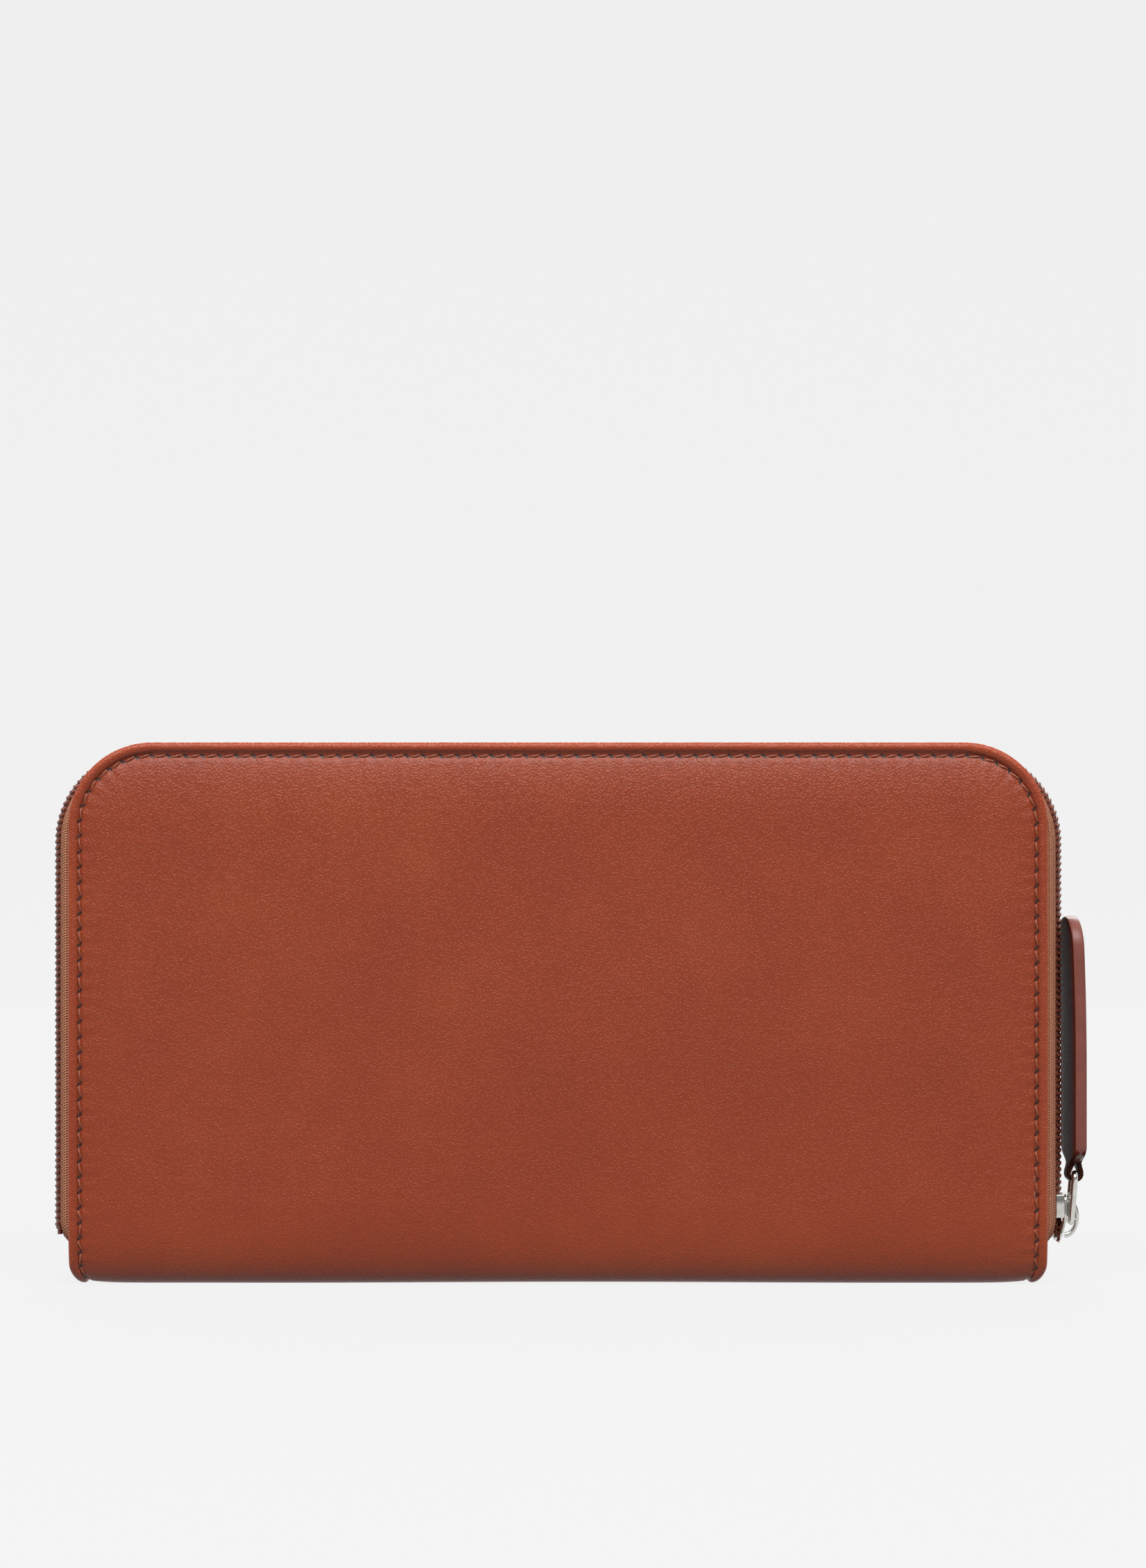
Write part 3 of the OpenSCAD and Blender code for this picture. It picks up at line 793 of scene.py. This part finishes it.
def slider_shell(name, inner_half):
    """Two plates, a wedge post and two flanges, about the slider's own origin."""
    across = [-1, -0.9, -0.75, -0.5, -0.25, 0, 0.25, 0.5, 0.75, 0.9, 1]
    along = [-5, -4.85, -4.5, -4, -3, -2, -1.2, -0.6, 0, 0.8, 1.8, 2.8, 3.6, 4.2, 4.55, 4.7]
    plate, column, row = grid(name + "_plate", across, along)
    v, z = np.array(across)[column], np.array(along)[row]
    end = np.minimum(z + 5, 4.7 - z)
    half = 3.2 - 0.55 * np.clip((z - 0.5) / 4.2, 0, 1) ** 1.5 - 0.8 * (1 - np.clip(end / 0.9, 0, 1)) ** 2
    bend = -1.35 * np.clip((-0.3 - z) / 4.7, 0, 1) ** 1.15
    move_points(plate, np.stack([2.8 + bend - 0.22 * np.abs(v) ** 5, v * half, z], 1) * MM)
    facing(plate, (1, 0, 0))
    finish_with(plate, "SOLIDIFY", thickness=0.00075, offset=-1)
    finish_with(plate, "BEVEL", width=0.00016, segments=2, limit_method="ANGLE", angle_limit=math.radians(50))
    parts = [plate]
    for side in (-1, 1):
        y = sorted((side * 2.5, side * 3.15))
        parts.append(block(name + "_flange", (0.45, y[0], 0), (2.3, y[1], 4.6), 0.22))
    parts.append(block(name + "_inner", (-1.65, -inner_half, -4.7), (-0.85, inner_half, 4.7), 0.3))
    parts.append(block(name + "_post", (-0.95, -0.3, -4.1), (1.45, 0.3, -1.5), 0.12))
    return smooth(joined(name, parts), 45)


def slider_arch(name):
    """The arch that holds the ring: flat wire, half round outside."""
    turns = spaced(-math.pi / 2 - 0.12, math.pi / 2 + 0.12, 0.13)
    path = [(2.75 + 2.175 * math.cos(a), 0, 3.55 * math.sin(a)) for a in turns]
    thick = [(0.43 + 0.12 * abs(math.sin(a)) ** 6, 1.1 - 0.12 * math.cos(a)) for a in turns]
    return smooth(tube(name, path, thick, 16, square=0.45), 50)


def oval_ring():
    """Wire link, 9.4 mm between its end bars."""
    reach, bend, tall = 1.6, 1.0, RING_LEN
    path = []
    for cy, cz, start in ((reach, bend, -90), (reach, tall - bend, 0), (-reach, tall - bend, 90), (-reach, bend, 180)):
        path += [(0, cy + bend * math.cos(math.radians(start + a)), cz + bend * math.sin(math.radians(start + a)))
                 for a in range(0, 91, 10)]
    full = []
    for a, b in zip(path, path[1:] + path[:1]):
        gap = math.dist(a, b)
        full.append(a)
        if gap > 0.6:
            full += [tuple(p + (q - p) * t for p, q in zip(a, b)) for t in [i / 6 for i in range(1, 6)]]
    return smooth(tube("wire_ring", full, 0.65, 14, closed=True, ups=[(1, 0, 0)] * len(full)), 60)


slider_low = mm_box("slider_body")[0]
SLIDER_AT = Vector((slider_low.x + 1.65, 0, slider_low.z + 5))
RING_LEN, RING_LEAN = 9.4, math.radians(4.6)
PIVOT = SLIDER_AT + Vector((3.6, 0, -0.8))
TAB_AT = PIVOT + RING_LEN * Vector((math.sin(RING_LEAN), 0, math.cos(RING_LEAN)))
main_at = Matrix.Translation(SLIDER_AT * MM)
coin_low, coin_high = mm_box("coin_slider_body")
COIN_AT = Vector((coin_high.x - 5, 0, coin_low.z + 1.65))
coin_at = Matrix.Translation(COIN_AT * MM) @ Matrix.Rotation(math.radians(-90), 4, "Y")

for where, shell_name, arch_name, inner_half, body, cad in (
        (main_at, "slider", "slider_arch", 2.8, "slider", "slider"),
        (coin_at, "inner_slider", "inner_slider_arch", 2.2, "coin_slider", "coin_slider")):
    shell = dress(placed(slider_shell(shell_name, inner_half), where), nickel, body)
    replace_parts(shell, cad + "_body")
    arch = dress(placed(slider_arch(arch_name), where), nickel, body)
    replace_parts(arch, cad + "_crown")

ring = placed(oval_ring(), Matrix.Translation(PIVOT * MM) @ Matrix.Rotation(RING_LEAN, 4, "Y"))
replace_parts(dress(ring, nickel, "ring"), "pull_ring")


def stamped_pull():
    """Flat pull with a round end, a window for the arch and a bar that turns under it."""
    pull = block("inner_pull", (-0.45, -2.6, 0), (0.45, 2.6, 11))
    shape(pull, "FACE", lambda middle, part: abs(part.normal.x) > 0.9, "inset", thickness=0.8 * MM)
    points = points_of(pull)
    window_top = (np.abs(points[:, 1]) < 0.002) & (points[:, 2] > 0.008)
    points[window_top, 2] = 0.0053
    move_points(pull, points)
    shape(pull, "FACE", lambda middle, part: abs(part.normal.x) > 0.9 and abs(middle.y) < 0.1 and 2 < middle.z < 4,
          "bridge_edge_loops")
    shape(pull, "EDGE", lambda middle, part: middle.z > 10.9 and abs(middle.y) > 2.5, "bevel",
          offset=2.5 * MM, segments=9)
    finish_with(pull, "BEVEL", width=0.00015, segments=2, limit_method="ANGLE", angle_limit=math.radians(50))
    bar = add("cylinder", "pull_bar", vertices=24, radius=0.0006, depth=0.0052, rotation=(math.pi / 2, 0, 0))
    settle(bar)
    shape(bar, "FACE", lambda middle, part: abs(part.normal.y) > 0.9, "bevel", offset=0.1 * MM, segments=2)
    return smooth(joined("inner_pull", [pull, bar]), 45)


pull = placed(stamped_pull(), coin_at @ Matrix.Translation(Vector((3.6, 0, -0.8)) * MM))
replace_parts(dress(pull, nickel, "coin_pull"), "coin_pull")


# ---- Leather tab ----

TAB_LEN, TAB_HALF, NECK = 50.3, 6.0, 1.6
tab_at = Matrix.Translation(TAB_AT * MM) @ Matrix.Rotation(math.radians(8), 4, "Z")


def tab_half(z):
    """Half the tab's width at a height above the ring: neck, shoulders, straight sides, round end."""
    if z > TAB_LEN - TAB_HALF:
        return math.sqrt(max(TAB_HALF ** 2 - (z - TAB_LEN + TAB_HALF) ** 2, 0.0004))
    if z < 1.6:
        return NECK
    rise = min(1.0, (z - 1.6) / 3.0)
    return NECK + (TAB_HALF - NECK) * (rise * rise * (3 - 2 * rise))


def tab_bow(z):
    return -0.58 * max(0.0, (z - 20) / 27) ** 2


def tab_strip():
    """One strip, folded round the ring and back on itself, thinned where it turns."""
    heights = [50.29, 50.2, 50.0, 49.6, 49.1, 48.4, 47.5, 46.4, 45.2, 44.0] + spaced(42, 8, 2.0) + [7, 6.2]
    down = [(0.60, z, 0.585) for z in heights]
    down += [(0.60, 5.5, 0.585), (0.61, 4.8, 0.585), (0.61, 4.2, 0.58), (0.61, 3.5, 0.58), (0.62, 2.7, 0.57),
             (0.70, 1.9, 0.56), (0.96, 1.1, 0.49), (1.24, 0.4, 0.42)]
    turn = [(1.34 * math.cos(a), 1.34 * math.sin(a), 0.38) for a in [math.radians(d) for d in range(-15, -166, -15)]]
    stations = down + turn + [(-x, z, h) for x, z, h in reversed(down)]
    section = []
    for i in range(24):
        a = 2 * math.pi * (i + 0.5) / 24
        c, n = math.cos(a), math.sin(a)
        section.append((math.copysign(abs(c) ** 0.35, c), math.copysign(abs(n) ** 0.35, n)))
    piece = add("cylinder", "pull_tab_leather", vertices=24, radius=1, depth=1, end_fill_type="NGON")
    shape(piece, "EDGE", lambda middle, part: abs(middle.z) < 1, "subdivide", number_cuts=len(stations) - 2)
    start = points_of(piece)
    ring_of = np.rint((start[:, 2] + 0.5) * (len(stations) - 1)).astype(int)
    slot_of = np.rint(np.arctan2(start[:, 1], start[:, 0]) / (2 * math.pi) * 24).astype(int) % 24
    places = np.empty_like(start)
    for index, (i, j) in enumerate(zip(ring_of, slot_of)):
        x, z, thick = stations[i]
        x0, z0, _ = stations[max(i - 1, 0)]
        x1, z1, _ = stations[min(i + 1, len(stations) - 1)]
        length = math.hypot(x1 - x0, z1 - z0) or 1
        nx, nz = (z1 - z0) / length, -(x1 - x0) / length
        u, v = section[j]
        half = tab_half(z)
        places[index] = (x + nx * thick * v + tab_bow(z), u * half, z + nz * thick * v)
    move_points(piece, places * MM)
    outward(piece)
    return smooth(piece, 50)


def tab_paint():
    """Edge paint along both sides and round the end, proud of the leather, in one smooth bead."""
    heights = [5.2, 6.5] + spaced(8, 43, 2.5)
    side = [(tab_half(z), z) for z in heights]
    end = [(TAB_HALF * math.cos(a), TAB_LEN - TAB_HALF + TAB_HALF * math.sin(a)) for a in spaced(0, math.pi / 2, 0.13)]
    right = [(2.2, 2.45), (3.4, 3.0), (4.7, 3.65), (5.6, 4.4)] + side + end
    path = [(tab_bow(z), y - 0.02, z) for y, z in right] + [(tab_bow(z), 0.02 - y, z) for y, z in reversed(right[:-1])]
    size = [(0.24, 1.12 - 0.25 * max(0, (5 - z) / 2.6)) for _, _, z in path]
    return smooth(tube("tab_edge_paint", path, size, 16, ups=[(1, 0, 0)] * len(path)), 60)


def smooth_tab_leather(name, base, dark, edge, grain):
    """Finished calf on both faces of the tab: dark, fine grained, with a clear top coat. Painted shade darkens
    the middle of each face, and the colour turns redder towards both edges."""
    made, shader = material(name)
    place = node(made, "TexCoord").outputs["Object"]
    cells = node(made, "TexVoronoi", {"Vector": place, "Scale": 1000 / grain}, feature="DISTANCE_TO_EDGE")
    cells = node(made, "Math", {0: cells, 1: 0.3}, operation="MINIMUM")
    fine = node(made, "TexNoise", {"Vector": place, "Scale": 3000, "Detail": 3})
    height = node(made, "Math", {0: fine, 1: 0.4}, operation="MULTIPLY")
    height = node(made, "Math", {0: cells, 1: 2.0, 2: height}, operation="MULTIPLY_ADD")
    mottle = node(made, "TexNoise", {"Vector": place, "Scale": 160, "Detail": 3})
    tone = node(made, "ValToRGB", {"Fac": mottle}, ramp=[(0.3, linear(dark)), (0.7, linear(base))])
    # painted shade on the middle of each face, fading to a redder colour towards both edges
    across = node(made, "SeparateXYZ", {"Vector": place}).outputs["Y"]
    across = node(made, "Math", {0: across}, operation="ABSOLUTE")
    out_of_painted_shade = node(made, "MapRange", {"Value": across, "From Min": 0.0022, "From Max": 0.0060},
                     interpolation_type="SMOOTHSTEP")
    tone = node(made, "MixRGB", {"Fac": out_of_painted_shade, "Color1": tone, "Color2": linear(edge)})
    rough = node(made, "MapRange", {"Value": fine, "From Min": 0.3, "From Max": 0.7, "To Min": 0.3, "To Max": 0.45})
    normal = node(made, "Bump", {"Height": height, "Strength": 0.5, "Distance": 0.00008})
    connect(made, shader, {"Base Color": tone, "Roughness": rough, "Normal": normal, "IOR": 1.25,
                           "Specular IOR Level": 0.12})
    return made


def edge_paint(name, base, light):
    """Acrylic edge paint, brushed on in coats: smooth and half glossy, with slow ripples."""
    made, shader = material(name)
    place = node(made, "TexCoord").outputs["Object"]
    ripple = node(made, "TexNoise", {"Vector": place, "Scale": 330, "Detail": 2})
    tone = node(made, "ValToRGB", {"Fac": ripple}, ramp=[(0.3, linear(base)), (0.75, linear(light))])
    rough = node(made, "MapRange", {"Value": ripple, "To Min": 0.26, "To Max": 0.4})
    normal = node(made, "Bump", {"Height": ripple, "Strength": 0.5, "Distance": 0.00012})
    connect(made, shader, {"Base Color": tone, "Roughness": rough, "Normal": normal})
    return made


tab_calf = smooth_tab_leather("dark_finished_calf", "#43201A", "#2E1511", "#6E2F23", 0.6)
tab_edge = edge_paint("acrylic_edge_paint", "#7A4035", "#86493D")
tab = dress(placed(tab_strip(), tab_at), tab_calf, "tab")
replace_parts(tab, "pull_tab")
dress(placed(tab_paint(), tab_at), tab_edge, "tab")


# ---- Inside ----

def woven_lining(name, code, dark, light):
    """Plain woven polyester twill lining, threads 0.35 mm apart, with a low silky sheen."""
    made, shader = material(name)
    place = node(made, "TexCoord").outputs["Object"]
    warp, weft = (node(made, "TexWave", {"Vector": place, "Scale": 900, "Distortion": 0.4},
                       wave_type="BANDS", bands_direction=way).outputs["Fac"] for way in "XZ")
    slubs = node(made, "TexNoise", {"Vector": place, "Scale": 380, "Detail": 4, "Roughness": 0.7})
    weave = node(made, "Math", {0: warp, 1: weft}, operation="MULTIPLY")
    weave = node(made, "Math", {0: weave, 1: 0.5}, operation="MULTIPLY")
    weave = node(made, "Math", {0: slubs, 1: 0.6, 2: weave}, operation="MULTIPLY_ADD")
    tone = node(made, "ValToRGB", {"Fac": weave},
                ramp=[(0.2, linear(dark)), (0.45, linear(code)), (0.75, linear(light))])
    normal = node(made, "Bump", {"Height": weave, "Strength": 0.6, "Distance": 0.00012})
    connect(made, shader, {"Base Color": tone, "Normal": normal, "Roughness": 0.7, "Sheen Weight": 0.3})
    return made


def pocket_leather(name, base, light, dark, crease_z):
    """Thin split calf for the pockets: fine grain, with a line creased by a hot iron below its top edge."""
    made = pebble_leather(name, base, light, dark, seam=False, grain=0.5)
    shader = made.node_tree.nodes["Principled BSDF"]
    colour, grain = (shader.inputs[name].links[0].from_socket for name in ("Base Color", "Normal"))
    place = node(made, "TexCoord").outputs["Object"]
    z = node(made, "SeparateXYZ", {"Vector": place}).outputs["Z"]
    away = node(made, "Math", {0: z, 1: crease_z * MM}, operation="SUBTRACT")
    away = node(made, "Math", {0: away}, operation="ABSOLUTE")
    line = node(made, "MapRange", {"Value": away, "From Min": 0.0001, "From Max": 0.0004},
                interpolation_type="SMOOTHSTEP")
    shade = node(made, "MapRange", {"Value": line, "To Min": 0.6})
    colour = node(made, "HueSaturation", {"Color": colour, "Value": shade})
    normal = node(made, "Bump", {"Height": line, "Strength": 0.9, "Distance": 0.0003, "Normal": grain})
    connect(made, shader, {"Base Color": colour, "Normal": normal})
    return made


lining_cloth = woven_lining("twill_lining", "#7A4632", "#5C3323", "#93593F")


def soft_panel(name, half, low, top, corner, y_out, y_in, step=3.0, wave=0.0, middle=0.0):
    """A flat layer inside the front cover with two round top corners and soft edges. wave is how far its top bends."""
    edge = [0, 0.12, 0.4, 0.9, 1.8, 3.2]
    across = [-half + d for d in edge] + spaced(-half + 3.2, half - 3.2, step)[1:-1]
    across += [half - d for d in reversed(edge)]
    along = [low + d for d in edge[:3]] + spaced(low + 0.4, top - 3.2, step)[1:-1] + [top - d for d in reversed(edge)]
    piece, column, row = grid(name, across, along)
    x, z = np.array(across)[column], np.array(along)[row]
    in_corner, angle, away = outline_place(x, z, half, top, corner)
    side, cx, cz = np.sign(x), half - corner, top - corner
    nx = np.where(in_corner, side * (cx + (corner - away) * np.cos(angle)), x)
    nz = np.where(in_corner, cz + (corner - away) * np.sin(angle), z)
    away = np.minimum(away, nz - low)
    thick = y_out - y_in
    y = -(y_in + thick / 2) + wave * np.sin(nx * 0.11 + top) * np.clip((nz - low) / (top - low), 0, 1) ** 2
    move_points(piece, np.stack([nx + middle, y, nz], 1) * MM)
    give_uv(piece, np.stack([nx, nz], 1))
    facing(piece, (0, 1, 0))
    finish_with(piece, "SOLIDIFY", thickness=thick * MM * 0.96, offset=0)
    finish_with(piece, "BEVEL", width=0.00012, segments=1, limit_method="ANGLE", angle_limit=math.radians(60))
    return smooth(piece, 50)


def both_sides(piece, made, slot, cad, **ride):
    """Dresses a piece of the front half and makes its rear twin. The piece's name ends in _front."""
    rear = mirrored(piece, piece.name.replace("_front", "_rear"))
    for item, cover in ((piece, "front"), (rear, "rear")):
        dress(item, made)
        if ride.get("bend"):
            cover_bend(item)
        else:
            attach(item, ride.get("body", cover))
        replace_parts(item, *[name.replace("*", cover) for name in cad])
    return piece, rear


def inner_lining():
    """Lining cloth of the front cover and its half of the spine, in one length."""
    half, top, corner = 93.3, 102.3, 15.0
    foot = [(-0.0, 2.2), (-2.0, 2.2), (-4.0, 2.2), (-5.6, 2.25), (-6.8, 2.5), (-8.0, 3.2), (-9.0, 4.3), (-9.7, 5.8),
            (-10.1, 7.6), (-10.2, 9.6), (-10.2, 11.5)]
    across = [-half, -half + 0.4, -half + 1.2] + spaced(-half + 3, half - 3, 4) + [half - 1.2, half - 0.4, half]
    along = [i - len(foot) for i in range(len(foot))] + spaced(14, top - 3, 4) + [top - 1.2, top - 0.4, top]
    piece, column, row = grid("lining_front_cloth", across, along)
    x, t = np.array(across)[column], np.array(along)[row]
    z = np.maximum(t, 12)
    in_corner, angle, away = outline_place(x, z, half, top, corner)
    side, cx, cz = np.sign(x), half - corner, top - corner
    nx = np.where(in_corner, side * (cx + (corner - away) * np.cos(angle)), x)
    nz = np.where(in_corner, cz + (corner - away) * np.sin(angle), z)
    index = np.clip(t + len(foot), 0, len(foot) - 1).astype(int)
    curve = np.array(foot)
    below = t < 0
    y = np.where(below, curve[index, 0], -10.2)
    nz = np.where(below, curve[index, 1], nz)
    nx = np.where(nz < 12, nx * 90 / half, nx)
    nx = np.where((nz >= 12) & (nz < 20), nx * (90 + (half - 90) * (nz - 12) / 8) / half, nx)
    move_points(piece, np.stack([nx, y, nz], 1) * MM)
    facing(piece, (0, 1, 0))
    finish_with(piece, "SOLIDIFY", thickness=0.00038, offset=0)
    return smooth(piece, 50)


lining_front, _ = both_sides(inner_lining(), lining_cloth, "lining", ["lining_*"], bend=True)
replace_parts(lining_front, "lining_spine")

both_sides(soft_panel("slip_pocket_panel_front", 88, 14, 96, 8, 9.9, 9.5, wave=0.04), lining_cloth, "lining",
           ["slip_pocket_*"])

CARD_TOPS = [mm_box(f"card_row_front_{row}")[1].z for row in (1, 2, 3, 4)]
for row, top in enumerate(CARD_TOPS, 1):
    outer = 9.5 - 0.4 * (row - 1)
    leather = pocket_leather(f"thin_calf_row_{row}", "#8F422B", "#9A4D34", "#7E3622", top - 1.8)
    halves = [soft_panel(f"half_{side}", 43.87, 14, top, 2, outer, outer - 0.4, wave=0.05, middle=side * 44.12)
              for side in (-1, 1)]
    both_sides(joined(f"card_row_{row}_front_panel", halves), leather, "cover_leather", [f"card_row_*_{row}"])


def column_seam():
    """Stitches between the two card columns, up to the lowest row's edge."""
    low, high = mm_box("card_seam_front")
    places = [leaned(Vector((0, 7.7, z)), Vector((0, 0, 1)), Vector((0, 1, 0)), 0.09)
              for z in spaced(low.z + 1.5, high.z - 1.5, 3.0)]
    piece = repeated(one_stitch(), places, "column_stitches_front")
    points = points_of(piece)
    points[:, 1] = -points[:, 1]
    move_points(piece, points)
    return smooth(outward(piece), 80)


both_sides(column_seam(), sewing_thread, "thread", ["card_seam_*"])

wall_leather = pocket_leather("thin_calf_coin_pocket", "#8F422B", "#9A4D34", "#7E3622", 85.6)
both_sides(soft_panel("coin_pocket_wall_front", 90, 2.45, 88, 6, 3.6, 3.0), wall_leather, "lining",
           ["coin_wall_*"], body="spine")


def pocket_strip():
    """Lining strip round the coin pocket's floor and sides."""
    side, floor, top, round_by = 85.75, 8.25, 82.0, 2.5
    path = [(-side, z) for z in spaced(top, floor + round_by, 6)]
    path += [(-side + round_by - round_by * math.cos(a), floor + round_by - round_by * math.sin(a))
             for a in spaced(0, math.pi / 2, 0.3)[1:]]
    path += [(x, floor) for x in spaced(-side + round_by, 0, 6)[1:]]
    path += [(-x, z) for x, z in reversed(path[:-1])]
    across = spaced(-2.95, 2.95, 1.0)
    piece, column, row = grid("coin_pocket_strip", across, path)
    xz = np.array(path)[row]
    y = np.array(across)[column]
    move_points(piece, np.stack([xz[:, 0], y, xz[:, 1]], 1) * MM)
    finish_with(piece, "SOLIDIFY", thickness=0.0005, offset=0)
    return smooth(outward(piece), 50)


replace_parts(dress(pocket_strip(), lining_cloth, "spine"), "coin_gusset")


def pocket_tape():
    """Half of the inner zip's tape: down inside the wall, then flat under the coil."""
    profile = [(-2.8, 82.1), (-2.8, 84), (-2.8, 86), (-2.8, 88.4), (-2.72, 89.2), (-2.4, 89.7), (-1.9, 89.8),
               (-1.2, 89.8), (-0.62, 89.8)]
    across = spaced(-86, 86, 4)
    piece, column, row = grid("inner_tape_front", across, profile)
    yz = np.array(profile)[row]
    x = np.array(across)[column]
    run = np.append(0, np.cumsum(np.hypot(*np.diff(np.array(profile), axis=0).T)))
    move_points(piece, np.stack([x, yz[:, 0], yz[:, 1]], 1) * MM)
    give_uv(piece, np.stack([x, run[row]], 1))
    finish_with(piece, "SOLIDIFY", thickness=0.00036, offset=0)
    return smooth(outward(piece), 50)


both_sides(pocket_tape(), tape_cloth, "zip_tape", ["coin_zip_tape_*"], body="spine")


def pocket_coil(name, shift):
    path = [(x, 90 + COIL_HIGH / 2, 0.0, 1.0) for x in spaced(71.2, -76, 4)]
    return coil(name, path, shift)


for cover, shift in (("front", 0.0), ("rear", 0.625)):
    piece = pocket_coil("inner_coil_" + cover, shift)
    if cover == "rear":
        piece = to_rear(piece)
    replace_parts(dress(piece, coil_nylon, "spine"), "coin_zip_coil_" + cover)


def side_fold():
    """Soft folded side of a bill compartment, on the right of the front half."""
    legs, inner, outer, bend = [3.8, 5.1, 6.4, 7.7], 79.6, 90.4, 0.65
    path = spaced(outer + 0.5, inner, 2.5)
    flat = [(x, legs[0]) for x in path]
    for i in range(3):
        at, way = (inner, -1) if i != 1 else (outer, 1)
        flat += [(at + way * bend * math.sin(a), legs[i] + bend - bend * math.cos(a))
                 for a in spaced(0, math.pi, 0.52)[1:-1]]
        line = spaced(inner, outer, 2.5) if i != 1 else spaced(outer, inner, 2.5)
        flat += [(x, legs[i + 1]) for x in line]
    along = spaced(14, 88, 3)
    piece, column, row = grid("side_fold_right_front", flat, along)
    xy = np.array(flat)[column]
    z = np.array(along)[row]
    move_points(piece, np.stack([xy[:, 0], -xy[:, 1], z], 1) * MM)
    finish_with(piece, "SOLIDIFY", thickness=0.0003, offset=0)
    return smooth(outward(piece), 60)


fold_leather = pocket_leather("soft_lamb_sides", "#843D28", "#8F4830", "#73331F", 200)
right = side_fold()
left = mirrored(right, "side_fold_left_front", axis=0)
for fold, side in ((right, "right"), (left, "left")):
    rear = mirrored(fold, fold.name.replace("_front", "_rear"))
    for item, cover, way in ((fold, "front", -1), (rear, "rear", 1)):
        dress(item, fold_leather)
        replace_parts(item, f"gusset_{cover}_{side}")
        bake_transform(item)


def grey_board(name):
    """Grey bookbinding board: short paper fibres, matt, with flecks."""
    made, shader = material(name)
    place = node(made, "TexCoord").outputs["Object"]
    fibre = node(made, "TexNoise", {"Vector": place, "Scale": 1400, "Detail": 5, "Roughness": 0.7})
    tone = node(made, "ValToRGB", {"Fac": fibre},
                ramp=[(0.3, linear("#8C7E66")), (0.55, linear("#B9A98C")), (0.8, linear("#CDBFA4"))])
    normal = node(made, "Bump", {"Height": fibre, "Strength": 0.5, "Distance": 0.00008})
    connect(made, shader, {"Base Color": tone, "Normal": normal, "Roughness": 0.92})
    return made


board_paper = grey_board("grey_bookbinding_board")
for name in ("board_front", "board_spine", "board_rear"):
    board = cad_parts[name]
    board.data.materials.clear()
    board.data.materials.append(board_paper)


# ---- Floor, light ----

def studio():
    """A white paper sweep, softboxes above, in front and behind, and weaker ones to the sides."""
    sweep = add("plane", "floor", size=2)
    settle(sweep)
    points = points_of(sweep)
    points[:, 0] *= 9
    points[:, 1] = np.where(points[:, 1] > 0, 1.2, -9.0)
    move_points(sweep, points)
    turn = [(1.2 + 1.2 * math.sin(a), 1.2 - 1.2 * math.cos(a)) for a in spaced(0, math.pi / 2, 0.13)[1:]] + [(2.4, 4.0)]
    before = (1.2, 0.0)
    for y, z in turn:
        last = Vector((0, *before)) * 1000
        shape(sweep, "EDGE", lambda middle, part: abs(middle.y - last.y) < 1 and abs(middle.z - last.z) < 1,
              "extrude_region_move", TRANSFORM_OT_translate={"value": (0, y - before[0], z - before[1])})
        before = (y, z)
    smooth(sweep, 60)
    # the same paper all round, far off, so that every side is seen against white
    around = add("cylinder", "backdrop", vertices=64, radius=8, depth=10, end_fill_type="NOTHING", location=(0, 0, 4.9))
    settle(around)
    shape(around, "FACE", everywhere, "flip_normals")
    smooth(around, 60)
    for paper, name, base, glow in ((sweep, "matte_paper", "#333333", 0.85),
                                    (around, "matte_paper_far", "#101010", 0.88)):
        made, shader = material(name)
        connect(made, shader, {"Base Color": linear(base), "Roughness": 1.0, "Specular IOR Level": 0.0,
                               "Emission Color": (1, 1, 1, 1), "Emission Strength": glow})
        paper.data.materials.append(made)
        paper.visible_diffuse = False
    around.visible_glossy = around.visible_shadow = False
    world = bpy.data.worlds.new("studio")
    bpy.context.scene.world = world
    world.use_nodes = True
    # a dim room with a pale ceiling
    height = node(world, "SeparateXYZ", {"Vector": node(world, "TexCoord")}).outputs["Z"]
    span = node(world, "MapRange", {"Value": height, "From Min": -1})
    room = node(world, "ValToRGB", {"Fac": span}, ramp=[(0.3, grey(0.06)), (0.5, grey(0.17)), (0.85, grey(0.8))])
    connect(world, world.node_tree.nodes["Background"], {"Color": room})
    for name, place, size, power in (
            ("overhead", (0, -0.62, 0.95), (1.2, 0.5), 7), ("strip", (0, -1.15, 0.95), (1.5, 0.3), 7),
            ("front_left", (-0.9, -1.0, 1.1), (0.5, 0.5), 2), ("front_right", (0.9, -1.0, 1.1), (0.5, 0.5), 2),
            ("behind", (0, 1.1, 0.9), (1.2, 0.5), 9)):
        light = bpy.data.lights.new(name, "AREA")
        light.shape = "RECTANGLE"
        light.size, light.size_y = size
        light.energy = power
        lamp = bpy.data.objects.new(name, light)
        bpy.context.scene.collection.objects.link(lamp)
        lamp.location = place
        lamp.rotation_euler = (Vector((0, 0, 0.05)) - Vector(place)).to_track_quat("-Z", "Y").to_euler()


studio()
bpy.context.scene.view_settings.view_transform = "Standard"
